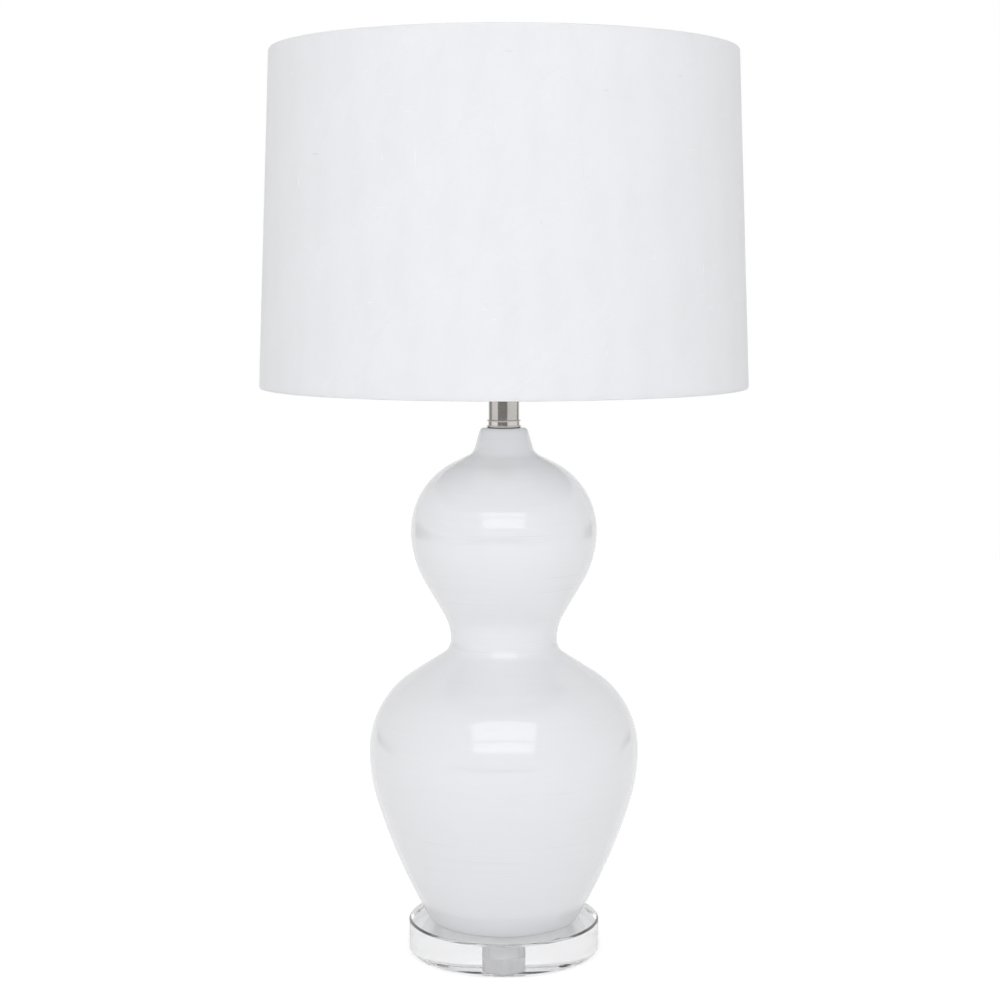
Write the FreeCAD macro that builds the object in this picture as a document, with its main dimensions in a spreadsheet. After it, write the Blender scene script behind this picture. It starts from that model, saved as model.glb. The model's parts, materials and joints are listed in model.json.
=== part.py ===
"""Double gourd table lamp: clear base, glazed ceramic body, lampholder, harp and linen drum shade.

Millimetres, +Z up, origin at the bottom centre of the base. Every piece is a node of its own.
"""
import FreeCAD, Part
import math
import os
import re
import Sketcher

V = FreeCAD.Vector

# ---------------------------------------------------------------- driving dimensions (mm, degrees)

SIZES = [
    # clear base and what clamps it
    ("pad_height", 1.0, "thin clear pads under the base"),
    ("pad_radius", 5.0, "radius of one pad"),
    ("pad_circle_radius", 60.0, "circle that the pads stand on"),
    ("pad_count", 4, "thin clear pads under the base"),
    ("base_radius", 74.0, "clear disc"),
    ("base_thickness", 25.0, "clear disc"),
    ("base_bevel", 1.5, "polished bevel of the disc's edges"),
    ("base_recess_radius", 11.0, "recess under the disc for washer and nut"),
    ("base_recess_depth", 12.0, "recess under the disc"),
    ("washer_radius", 9.5, "flat washer in the recess"),
    ("washer_thickness", 1.5, "flat washer in the recess"),
    ("lock_washer_radius", 8.0, "split lock washer"),
    ("lock_washer_thickness", 2.0, "split lock washer"),
    ("lock_washer_slit", 1.2, "slit of the lock washer"),
    ("nut_flats", 14.0, "base nut across flats"),
    ("nut_thickness", 4.0, "base nut"),
    # threaded rod
    ("rod_radius", 5.0, "hollow threaded rod"),
    ("rod_bore_radius", 3.5, "way for the cord inside the rod"),
    ("rod_stub", 2.0, "rod below the base nut"),
    ("rod_gap", 0.2, "clearance round the rod in what it passes through"),
    ("rod_grip", 9.0, "rod inside the lampholder's cap"),
    ("cord_window_length", 24.0, "window in the rod's rear wall"),
    ("cord_window_width", 5.0, "window in the rod's rear wall"),
    # soft ring between base and ceramic
    ("gasket_thickness", 0.6, "foot gasket"),
    ("gasket_inset", 2.5, "gasket's edge inside the ceramic's foot"),
    ("gasket_width", 7.0, "foot gasket"),
    # ceramic outline, heights above the foot
    ("foot_radius", 58.0, "outline at the foot"),
    ("flank_curve", 450.0, "nearly straight flank"),
    ("belly_curve", 128.0, "below the widest place"),
    ("belly_radius", 104.2, "widest place of the lower gourd"),
    ("belly_height", 132.0, "widest place of the lower gourd"),
    ("waist_lower_share", 0.3418, "straight stretch below the waist, as a share of the rise to it"),
    ("waist_lower_curve", 14.0, "hollow below the waist"),
    ("waist_radius", 41.0, "waist"),
    ("waist_height", 218.6, "waist"),
    ("waist_upper_curve", 40.5, "hollow above the waist"),
    ("waist_upper_share", 0.3417, "straight stretch above the waist, as a share of the rise from it"),
    ("upper_radius", 71.3, "widest place of the upper gourd"),
    ("upper_height", 302.4, "widest place of the upper gourd"),
    ("neck_share", 0.2054, "straight stretch under the neck, as a share of the rise to it"),
    ("neck_curve", 9.0, "hollow under the neck"),
    ("neck_root_radius", 21.9, "neck, level with the hollow's centre"),
    ("neck_length", 13.0, "top of the neck above the hollow's centre"),
    ("neck_taper", 16.0, "lean of the neck's wall, degrees"),
    ("neck_rounding", 4.0, "rounded top edge"),
    ("gourd_height", 382.0, "ceramic from foot to top"),
    ("gourd_wall", 6.0, "ceramic wall"),
    ("gourd_floor", 9.0, "ceramic floor"),
    ("rim_wall", 7.0, "ceramic at the top of the neck"),
    ("neck_hole_radius", 8.5, "hole in the neck's top"),
    ("floor_hole_radius", 6.5, "hole in the floor"),
    ("foot_ring_width", 12.0, "foot ring"),
    ("foot_recess_depth", 3.0, "recess inside the foot ring"),
    # cord inlet at the rear
    ("inlet_height", 30.0, "inlet above the foot, on the surface"),
    ("bush_bore_radius", 4.0, "way for the cord through the bush"),
    ("bush_radius", 6.0, "bush in the ceramic's wall"),
    ("bush_gap", 0.2, "clearance round the bush"),
    ("bush_flange_radius", 8.5, "flange outside the wall"),
    ("bush_flange_thickness", 1.6, "flange outside the wall"),
    ("bush_flange_lift", 0.3, "flange's face off the curved wall"),
    ("bush_tail", 3.0, "bush inside the wall"),
    # bright neck
    ("seal_thickness", 0.5, "rubber washer on the ceramic"),
    ("seal_radius", 12.6, "rubber washer on the ceramic"),
    ("ring_flange_radius", 13.0, "check ring, foot flange"),
    ("ring_flange_height", 1.3, "check ring, foot flange"),
    ("ring_band_radius", 12.0, "check ring, band"),
    ("ring_band_height", 3.2, "check ring, band"),
    ("ring_lip_radius", 12.9, "check ring, fine upper lip"),
    ("ring_lip_height", 0.8, "check ring, fine upper lip"),
    ("spigot_height", 2.0, "spigot that centres the neck tube"),
    ("spigot_gap", 0.1, "spigot inside the tube"),
    ("neck_tube_radius", 11.7, "neck tube"),
    ("neck_tube_wall", 1.2, "neck tube"),
    ("neck_tube_length", 19.3, "neck tube"),
    ("neck_washer_thickness", 1.2, "washer on the neck tube"),
    # harp
    ("saddle_thickness", 1.4, "strip of the harp saddle"),
    ("saddle_width", 14.0, "strip of the harp saddle"),
    ("saddle_flat", 20.0, "half of the saddle's flat floor"),
    ("saddle_rise", 5.0, "rise of the saddle's sloping ends"),
    ("saddle_shoulder_height", 9.0, "where the wide strip ends and the sleeve stands"),
    ("tab_half_span", 28.5, "outer face of the upright tabs"),
    ("tab_height", 21.0, "top of the tabs above the saddle's underside"),
    ("tab_width", 4.0, "upright tabs"),
    ("harp_height", 241.0, "saddle's underside to the eye's top"),
    ("harp_wire_radius", 1.6, "harp wire"),
    ("harp_half_width", 57.0, "wire's axis at the harp's widest place"),
    ("harp_crown_rise", 90.0, "wire's top run above the widest place"),
    ("harp_side_curve", 170.0, "bow of the harp's sides"),
    ("harp_flare_curve", 40.0, "bend from the legs to the sides"),
    ("harp_shoulder_curve", 30.0, "bend from the sides to the top"),
    ("harp_tip_height", 6.0, "lower tips above the saddle's underside"),
    ("harp_gap", 0.3, "wire beside the tab"),
    ("eye_radius", 7.5, "flat eye at the harp's top"),
    ("eye_thickness", 3.3, "flat eye at the harp's top"),
    ("sleeve_bore_radius", 3.45, "sleeve over tab and wire"),
    ("sleeve_wall", 0.75, "sleeve over tab and wire"),
    ("sleeve_length", 14.0, "sleeve over tab and wire"),
    ("sleeve_play", 0.1, "sleeve above the saddle's shoulder"),
    # swivel stud and finial
    ("rivet_radius", 2.0, "stud's shank in the eye"),
    ("rivet_play", 0.05, "clearance of the shank, and of the faces beside the eye"),
    ("rivet_head_radius", 3.6, "rivet head under the eye"),
    ("rivet_head_height", 1.2, "rivet head under the eye"),
    ("seat_radius", 9.5, "disc that the shade's hub stands on"),
    ("seat_thickness", 1.5, "disc that the shade's hub stands on"),
    ("post_radius", 3.1, "threaded post"),
    ("post_height", 13.0, "threaded post above the seat"),
    ("thread_gap", 0.05, "clearance of the finial and the bulb in their threads"),
    ("finial_gap", 0.1, "between the clamped faces of the finial"),
    ("finial_flange_radius", 8.5, "finial's foot"),
    ("finial_flange_height", 1.8, "finial's foot"),
    ("finial_neck_radius", 5.2, "finial's waist"),
    ("finial_base_height", 8.0, "finial's base"),
    ("finial_ball_radius", 9.0, "finial's ball"),
    ("finial_bore_depth", 6.0, "blind bore in the ball"),
    # shade
    ("shade_bottom_radius", 185.3, "outside at the bottom edge"),
    ("shade_taper", 9.8, "how much narrower the shade is at the top edge"),
    ("shade_height", 252.0, "shade"),
    ("shade_drop", 13.7, "top edge above the hub's underside"),
    ("fabric_thickness", 0.7, "linen cover"),
    ("liner_thickness", 0.5, "stiff lining"),
    ("ring_wire_radius", 1.5, "wire of the shade's rings"),
    ("ring_gap", 0.05, "rings and hems off their neighbours"),
    ("hem_thickness", 0.6, "fabric turned over the ring"),
    ("hem_depth", 11.0, "fabric turned over the ring"),
    ("hub_radius", 14.0, "spider's hub"),
    ("hub_hole_radius", 5.6, "spider's hub"),
    ("hub_thickness", 1.5, "spider's hub"),
    ("arm_radius", 1.8, "spider's arms"),
    ("arm_start_radius", 11.5, "arm's inner end, welded on the hub"),
    ("arm_bend_radius", 7.0, "arm's bend up to the ring"),
    ("arm_weld", 0.3, "arm's side sunk into the ring, as a weld"),
    ("arm_notch", 0.4, "clearance of the turned hem round an arm"),
    ("arm_count", 3, "spider's arms"),
    # lampholder
    ("cap_hub_radius", 8.0, "cap's threaded hub"),
    ("cap_hub_height", 6.0, "cap's threaded hub"),
    ("cap_radius", 19.4, "cap's rim"),
    ("cap_height", 18.0, "cap"),
    ("shell_wall", 0.7, "wall of cap and shell"),
    ("shell_overlap", 7.0, "shell's skirt inside the cap"),
    ("shell_skirt_height", 10.0, "shell's wide skirt"),
    ("shell_radius", 17.0, "shell above the skirt"),
    ("shell_height", 49.0, "shell"),
    ("shell_gap", 0.1, "clearance of the nested shells"),
    ("shell_bead", 0.9, "rolled top edge of the shell"),
    ("sleeve_card_thickness", 0.8, "insulating sleeve"),
    ("sleeve_card_margin", 3.0, "insulating sleeve, short of the shell's ends"),
    ("socket_body_radius", 13.5, "moulded body with the switch"),
    ("socket_body_base", 14.0, "moulded body above the cap's foot"),
    ("socket_body_height", 20.0, "moulded body"),
    ("terminal_flat", 12.3, "flats that carry the terminal screws"),
    ("terminal_flat_height", 9.0, "flats that carry the terminal screws"),
    ("terminal_head_radius", 3.0, "terminal screws"),
    ("terminal_head_height", 1.4, "terminal screws"),
    ("terminal_shank_radius", 1.5, "terminal screws"),
    ("terminal_shank_length", 5.0, "terminal screws"),
    ("terminal_slot", 0.7, "slot of the terminal screws"),
    ("screw_shell_wall", 0.4, "threaded metal shell"),
    ("screw_shell_height", 22.0, "threaded metal shell"),
    ("screw_shell_hole_radius", 7.0, "hole in the threaded shell's floor"),
    ("contact_width", 5.0, "centre contact strip"),
    ("contact_length", 9.0, "centre contact strip"),
    ("contact_rise", 3.0, "centre contact above the moulded body"),
    ("contact_thickness", 0.6, "centre contact strip"),
    ("set_screw_radius", 1.5, "cap's set screw"),
    ("set_screw_length", 4.5, "cap's set screw"),
    # turn switch
    ("switch_height", 24.5, "switch's axis above the cap's foot"),
    ("shaft_radius", 2.0, "switch shaft"),
    ("shaft_play", 0.05, "shaft in the moulded body"),
    ("shaft_depth", 8.0, "shaft inside the moulded body"),
    ("shaft_hole_radius", 3.0, "hole in shell and insulating sleeve"),
    ("knob_gap", 0.8, "knob off the shell's skirt"),
    ("knob_length", 13.0, "switch knob"),
    ("knob_radius", 5.0, "switch knob"),
    ("knob_grip_radius", 6.0, "switch knob's fluted grip"),
    ("knob_collar_length", 4.0, "knob's plain collar"),
    ("knob_flutes", 8, "flutes of the grip"),
    ("knob_flute_radius", 1.1, "flutes of the grip"),
    ("knob_socket_depth", 8.0, "shaft inside the knob"),
    # bulb
    ("bulb_length", 108.0, "bulb"),
    ("bulb_contact_radius", 4.6, "bulb's centre contact"),
    ("bulb_contact_height", 1.6, "bulb's centre contact"),
    ("bulb_rest_gap", 0.1, "bulb off the socket's centre contact"),
    ("bulb_insulator_height", 3.0, "black ring of the bulb's cap"),
    ("bulb_cap_radius", 13.2, "bulb's screw cap"),
    ("bulb_cap_height", 20.0, "bulb's screw cap"),
    ("bulb_cap_taper", 1.6, "slant of the screw cap's lower edge"),
    ("bulb_globe_radius", 30.0, "bulb's diffuser"),
    ("bulb_housing_radius", 28.0, "bulb's housing at its rim"),
    ("bulb_flare_curve", 67.6, "hollow curve of the bulb's housing"),
    ("bulb_wall", 1.2, "bulb's diffuser"),
    ("bulb_pieces_gap", 0.05, "between the bulb's contact and its insulator"),
]

# ---------------------------------------------------------------- heights and places worked out from them

LEVELS = [
    ("base_bottom", "pad_height"),
    ("recess_ceiling", "base_bottom + base_recess_depth"),
    ("washer_bottom", "recess_ceiling - washer_thickness"),
    ("lock_washer_bottom", "washer_bottom - lock_washer_thickness"),
    ("nut_bottom", "lock_washer_bottom - nut_thickness"),
    ("rod_bottom", "nut_bottom - rod_stub"),
    ("base_top", "base_bottom + base_thickness"),
    ("foot", "base_top + gasket_thickness"),
    ("gourd_top", "foot + gourd_height"),
    ("check_ring_bottom", "gourd_top + seal_thickness"),
    ("check_ring_height", "ring_flange_height + ring_band_height + ring_lip_height"),
    ("tube_bottom", "check_ring_bottom + check_ring_height"),
    ("tube_bore_radius", "neck_tube_radius - neck_tube_wall"),
    ("washer_seat", "tube_bottom + neck_tube_length"),
    ("saddle", "washer_seat + neck_washer_thickness"),
    ("cap_foot", "saddle + saddle_thickness"),
    ("rod_top", "cap_foot + rod_grip"),
    ("rod_hole_radius", "rod_radius + rod_gap"),
    # each hill's curve leaves room for the straight stretch that joins it to its hollow
    ("waist_rise", "waist_height - belly_height"),
    ("shoulder_curve", "((waist_radius + waist_lower_curve - belly_radius) ^ 2 "
     "+ (1 - waist_lower_share ^ 2) * waist_rise ^ 2 - waist_lower_curve ^ 2) "
     "/ (2 * (belly_radius - waist_radius))"),
    ("upper_rise", "upper_height - waist_height"),
    ("upper_lower_curve", "((waist_radius + waist_upper_curve - upper_radius) ^ 2 "
     "+ (1 - waist_upper_share ^ 2) * upper_rise ^ 2 - waist_upper_curve ^ 2) "
     "/ (2 * (upper_radius - waist_radius))"),
    ("neck_root_height", "gourd_height - neck_length"),
    ("neck_rise", "neck_root_height - upper_height"),
    ("upper_shoulder_curve", "((neck_root_radius + neck_curve - upper_radius) ^ 2 "
     "+ (1 - neck_share ^ 2) * neck_rise ^ 2 - neck_curve ^ 2) "
     "/ (2 * (upper_radius - neck_root_radius))"),
    # the flank's arc runs from the foot's edge into the belly's arc
    ("flank_lean", "belly_radius - belly_curve - foot_radius"),
    ("flank_chord", "sqrt(flank_lean ^ 2 + belly_height ^ 2)"),
    ("flank_along", "(flank_curve ^ 2 - (flank_curve - belly_curve) ^ 2 + flank_chord ^ 2) / (2 * flank_chord)"),
    ("flank_aside", "sqrt(flank_curve ^ 2 - flank_along ^ 2)"),
    ("flank_centre_x", "foot_radius + (flank_along * flank_lean - flank_aside * belly_height) / flank_chord"),
    ("flank_centre_y", "(flank_along * belly_height + flank_aside * flank_lean) / flank_chord"),
    ("inlet_radius", "flank_centre_x + sqrt(flank_curve ^ 2 - (inlet_height - flank_centre_y) ^ 2)"),
    ("inlet_tilt", "asin((flank_centre_y - inlet_height) / flank_curve) / 1 deg"),
    # harp
    ("leg_x", "tab_half_span + harp_gap + harp_wire_radius"),
    ("sleeve_x", "tab_half_span + harp_gap / 2 + harp_wire_radius - saddle_thickness / 2"),
    ("eye_top", "saddle + harp_height"),
    ("seat_bottom", "eye_top + rivet_play"),
    ("hub_bottom", "seat_bottom + seat_thickness"),
    ("hub_top", "hub_bottom + hub_thickness"),
    ("finial_bottom", "hub_top + finial_gap"),
    ("ball_bottom", "finial_bottom + finial_base_height + finial_gap"),
    # shade
    ("shade_top", "hub_bottom + shade_drop"),
    ("shade_bottom", "shade_top - shade_height"),
    ("shade_top_radius", "shade_bottom_radius - shade_taper"),
    ("shade_slope", "shade_taper / shade_height"),
    ("wall_thickness", "fabric_thickness + liner_thickness"),
    ("ring_inset", "hem_thickness + ring_gap + ring_wire_radius"),
    ("ring_reach", "wall_thickness + ring_gap + ring_wire_radius"),
    ("top_ring_radius", "shade_top_radius + ring_inset * shade_slope - ring_reach"),
    ("bottom_ring_radius", "shade_bottom_radius - ring_inset * shade_slope - ring_reach"),
    ("arm_end_radius", "top_ring_radius - ring_wire_radius - arm_radius + arm_weld"),
    # lampholder
    ("skirt_radius", "cap_radius - shell_wall - shell_gap"),
    ("shell_foot", "cap_foot + cap_height - shell_overlap"),
    ("card_radius", "shell_radius - shell_wall - shell_gap"),
    ("body_foot", "cap_foot + socket_body_base"),
    ("body_top", "body_foot + socket_body_height"),
    ("contact_top", "body_top + contact_rise"),
    ("switch_axis", "cap_foot + switch_height"),
    ("knob_start", "skirt_radius + knob_gap"),
    # bulb
    ("bulb_tip", "contact_top + bulb_rest_gap"),
    ("insulator_foot", "bulb_tip + bulb_contact_height + bulb_pieces_gap"),
    ("bulb_cap_foot", "insulator_foot + bulb_insulator_height"),
    ("housing_foot", "bulb_cap_foot + bulb_cap_height"),
    ("globe_centre", "bulb_tip + bulb_length - bulb_globe_radius"),
    ("housing_top", "globe_centre - sqrt(bulb_globe_radius ^ 2 - bulb_housing_radius ^ 2)"),
]

doc = FreeCAD.newDocument("double_gourd_lamp")
sheet = doc.addObject("Spreadsheet::Sheet", "Sizes")
levels = doc.addObject("App::VarSet", "Levels")
homes = {}
nodes = []


def bound(text):
    """Writes an expression over the named sizes and levels as the document spells it."""
    return re.sub(r"[a-z]\w*", lambda word: homes.get(word[0], "") + word[0], text)


def value(text):
    """The number that an expression over the named sizes and levels stands for."""
    return float(sheet.evalExpression(bound(text)))


def fill_sheet():
    for row, (alias, number, meaning) in enumerate(SIZES, start=1):
        sheet.set(f"A{row}", meaning)
        sheet.set(f"B{row}", str(number))
        sheet.setAlias(f"B{row}", alias)
        homes[alias] = "Sizes."
    doc.recompute()


def fill_levels():
    for name, formula in LEVELS:
        levels.addProperty("App::PropertyFloat", name, "Levels", formula)
        levels.setExpression(name, bound(formula))
        homes[name] = "Levels."
        doc.recompute()


# ---------------------------------------------------------------- sketch and body helpers

def new_body(node, height="0", x="0", y="0"):
    """An empty body for one node, placed by named sizes."""
    body = doc.addObject("PartDesign::Body", node)
    body.Label = node
    for axis, text in (("x", x), ("y", y), ("z", height)):
        if text != "0":
            body.setExpression(f"Placement.Base.{axis}", bound(text))
    return body


def new_sketch(body, name, role="XZ_Plane", lift="0"):
    """A sketch on one of the body's origin planes, lifted off it by a named size."""
    sketch = body.newObject("Sketcher::SketchObject", name)
    planes = [feature for feature in body.Origin.OriginFeatures if feature.Role == role]
    sketch.AttachmentSupport = [(planes[0], "")]
    sketch.MapMode = "FlatFace"
    if lift != "0":
        sketch.setExpression("AttachmentOffset.Base.z", bound(lift))
    return sketch


def limit(sketch, kind, *places, text):
    """A dimension in a sketch, bound to named sizes."""
    number = value(text)
    if kind == "Angle":
        number = math.radians(number)
        text = f"({text}) * 1 deg"
    index = sketch.addConstraint(Sketcher.Constraint(kind, *places, number))
    sketch.setExpression(f"Constraints[{index}]", bound(text))


def join(sketch, kind, *places):
    """A relation in a sketch that has no size, such as a shared point or a tangent."""
    return sketch.addConstraint(Sketcher.Constraint(kind, *places))


def hold(sketch, geometry, end, x=None, y=None):
    """Places one point of a sketch by named sizes; "0" puts it on the axis."""
    if x == "0":
        join(sketch, "PointOnObject", geometry, end, -2)
    elif x is not None:
        limit(sketch, "DistanceX", -1, 1, geometry, end, text=x)
    if y == "0":
        join(sketch, "PointOnObject", geometry, end, -1)
    elif y is not None:
        limit(sketch, "DistanceY", -1, 1, geometry, end, text=y)


def polygon(sketch, points):
    """A closed outline through points given as pairs of named sizes."""
    spots = [V(value(x), value(y), 0) for x, y in points]
    first = len(sketch.Geometry)
    for here, there in zip(spots, spots[1:] + spots[:1]):
        sketch.addGeometry(Part.LineSegment(here, there), False)
    for step, (x, y) in enumerate(points):
        before = first + (step - 1) % len(points)
        join(sketch, "Coincident", before, 2, first + step, 1)
        hold(sketch, first + step, 1, x, y)


def circle(sketch, radius, x="0", y="0"):
    centre = V(value(x), value(y), 0)
    ring = sketch.addGeometry(Part.Circle(centre, V(0, 0, 1), value(radius)), False)
    limit(sketch, "Radius", ring, text=radius)
    if x == "0" and y == "0":
        join(sketch, "Coincident", ring, 3, -1, 1)
    else:
        hold(sketch, ring, 3, x, y)


def revolve(body, sketch, kind="PartDesign::Revolution"):
    feature = body.newObject(kind, sketch.Name + "_turned")
    feature.Profile = sketch
    feature.ReferenceAxis = (sketch, ["V_Axis"])
    feature.Angle = 360
    doc.recompute()
    return feature


def turned(node, section, height="0", x="0", y="0"):
    """A body turned about its own Z axis from a polygon of (radius, height) points."""
    body = new_body(node, height, x, y)
    sketch = new_sketch(body, node + "_section")
    polygon(sketch, section)
    revolve(body, sketch)
    return body


def tube(inner, outer, length):
    """Section of a plain tube standing on its own origin."""
    return [(inner, "0"), (outer, "0"), (outer, length), (inner, length)]


def disc(radius, length):
    """Section of a plain round bar standing on its own origin."""
    return [("0", "0"), (radius, "0"), (radius, length), ("0", length)]


def pad(body, sketch, length, middle=False, backward=False):
    feature = body.newObject("PartDesign::Pad", sketch.Name + "_pad")
    feature.Profile = sketch
    feature.setExpression("Length", bound(length))
    if middle:
        feature.SideType = "Symmetric"
    feature.Reversed = backward
    doc.recompute()
    return feature


def pocket(body, sketch, length=None, middle=False, backward=False):
    """Cuts a sketch's outline out of the body, all the way through if no length is given."""
    before = body.Shape.Volume
    feature = body.newObject("PartDesign::Pocket", sketch.Name + "_cut")
    feature.Profile = sketch
    if length is None:
        feature.Type = "ThroughAll"
    else:
        feature.setExpression("Length", bound(length))
    if middle:
        feature.SideType = "Symmetric"
    feature.Reversed = backward
    doc.recompute()
    if body.Shape.Volume >= before:
        raise RuntimeError(sketch.Name + " cuts nothing")
    return feature


def repeat_round(body, feature, sketch, count):
    """Repeats a feature round the sketch's normal."""
    pattern = body.newObject("PartDesign::PolarPattern", feature.Name + "_round")
    pattern.Originals = [feature]
    pattern.Axis = (sketch, ["N_Axis"])
    pattern.Angle = 360
    pattern.setExpression("Occurrences", bound(count))
    body.Tip = pattern
    doc.recompute()
    return pattern


def circles_at(body, radius, height):
    """Names of the body's circular edges of one radius at one height."""
    names = []
    for number, edge in enumerate(body.Tip.Shape.Edges, start=1):
        curve = edge.Curve
        if isinstance(curve, Part.Circle) and abs(curve.Radius - value(radius)) < 1e-3:
            if abs(curve.Center.z - value(height)) < 1e-3:
                names.append(f"Edge{number}")
    if not names:
        raise RuntimeError(f"{body.Label} has no edge of radius {radius} at {height}")
    return names


def ease(body, kind, places, amount):
    """Fillets or chamfers the circular edges at the given (radius, height) places."""
    names = []
    for radius, height in places:
        names += circles_at(body, radius, height)
    base = body.Tip
    feature = body.newObject("PartDesign::" + kind, body.Name + "_" + kind.lower())
    feature.Base = (base, names)
    feature.setExpression("Radius" if kind == "Fillet" else "Size", bound(amount))
    body.Tip = feature
    doc.recompute()
    return feature


def keep(thing, node=None):
    """Names a finished piece, so that it is written out."""
    if node:
        thing.Label = node
    nodes.append(thing)
    return thing


# ---------------------------------------------------------------- base

def make_base_pads():
    body = new_body("base_pads")
    sketch = new_sketch(body, "pad_place", "XY_Plane")
    side = "pad_circle_radius / sqrt(2)"
    circle(sketch, "pad_radius", side, side)
    first = pad(body, sketch, "pad_height")
    repeat_round(body, first, sketch, "pad_count")
    keep(body)


def make_acrylic_base():
    body = turned("acrylic_base", [
        ("base_recess_radius", "0"),
        ("base_radius", "0"),
        ("base_radius", "base_thickness"),
        ("rod_hole_radius", "base_thickness"),
        ("rod_hole_radius", "base_recess_depth"),
        ("base_recess_radius", "base_recess_depth"),
    ], "base_bottom")
    ease(body, "Chamfer", [("base_radius", "0"), ("base_radius", "base_thickness")], "base_bevel")
    keep(body)


def make_base_hardware():
    keep(turned("base_washer", tube("rod_hole_radius", "washer_radius", "washer_thickness"), "washer_bottom"))
    lock = turned("base_lock_washer",
                  tube("rod_hole_radius", "lock_washer_radius", "lock_washer_thickness"), "lock_washer_bottom")
    slit = new_sketch(lock, "lock_washer_slit_place", "XY_Plane")
    polygon(slit, [
        ("0", "-lock_washer_slit / 2"),
        ("lock_washer_radius * 2", "-lock_washer_slit / 2"),
        ("lock_washer_radius * 2", "lock_washer_slit / 2"),
        ("0", "lock_washer_slit / 2"),
    ])
    pocket(lock, slit, backward=True)
    keep(lock)
    keep(hex_nut("base_nut", "nut_flats", "nut_thickness", "rod_hole_radius", "nut_bottom"))


def hex_nut(node, flats, thickness, bore, height):
    """Hexagon with a bore and corners turned off, as nuts have."""
    body = new_body(node, height)
    sketch = new_sketch(body, node + "_hexagon", "XY_Plane")
    corners = []
    for corner in range(6):
        turn = 60 * corner + 30
        corners.append((f"{flats} / sqrt(3) * cos({turn})", f"{flats} / sqrt(3) * sin({turn})"))
    polygon(sketch, corners)
    circle(sketch, bore)
    pad(body, sketch, thickness)
    rim = new_sketch(body, node + "_corners")
    polygon(rim, [
        (f"{flats} / 2", "0"),
        (f"{flats}", "0"),
        (f"{flats}", f"{flats} / 4"),
    ])
    revolve(body, rim, "PartDesign::Groove")
    return body


def make_threaded_rod():
    length = "rod_top - rod_bottom"
    body = turned("threaded_rod", tube("rod_bore_radius", "rod_radius", length), "rod_bottom")
    window = new_sketch(body, "cord_window")
    low = "foot + inlet_height - rod_bottom - cord_window_length / 2"
    high = "foot + inlet_height - rod_bottom + cord_window_length / 2"
    polygon(window, [
        ("-cord_window_width / 2", low),
        ("cord_window_width / 2", low),
        ("cord_window_width / 2", high),
        ("-cord_window_width / 2", high),
    ])
    pocket(body, window, "rod_radius * 2")
    keep(body)


def make_foot_gasket():
    outer = "foot_radius - gasket_inset"
    keep(turned("foot_gasket", tube(f"{outer} - gasket_width", outer, "gasket_thickness"), "base_top"))


# ---------------------------------------------------------------- ceramic body

def common_normal(hill, hill_radius, hollow, hollow_radius, side):
    """Direction square to the line that touches a hill's circle and a hollow's circle crosswise."""
    gap = hollow - hill
    return math.atan2(gap.y, gap.x) + side * math.acos((hill_radius + hollow_radius) / gap.Length)


def arc(centre, radius, start, end):
    """An arc drawn anticlockwise between two directions."""
    return Part.ArcOfCircle(Part.Circle(centre, V(0, 0, 1), radius), start, end)


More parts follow.
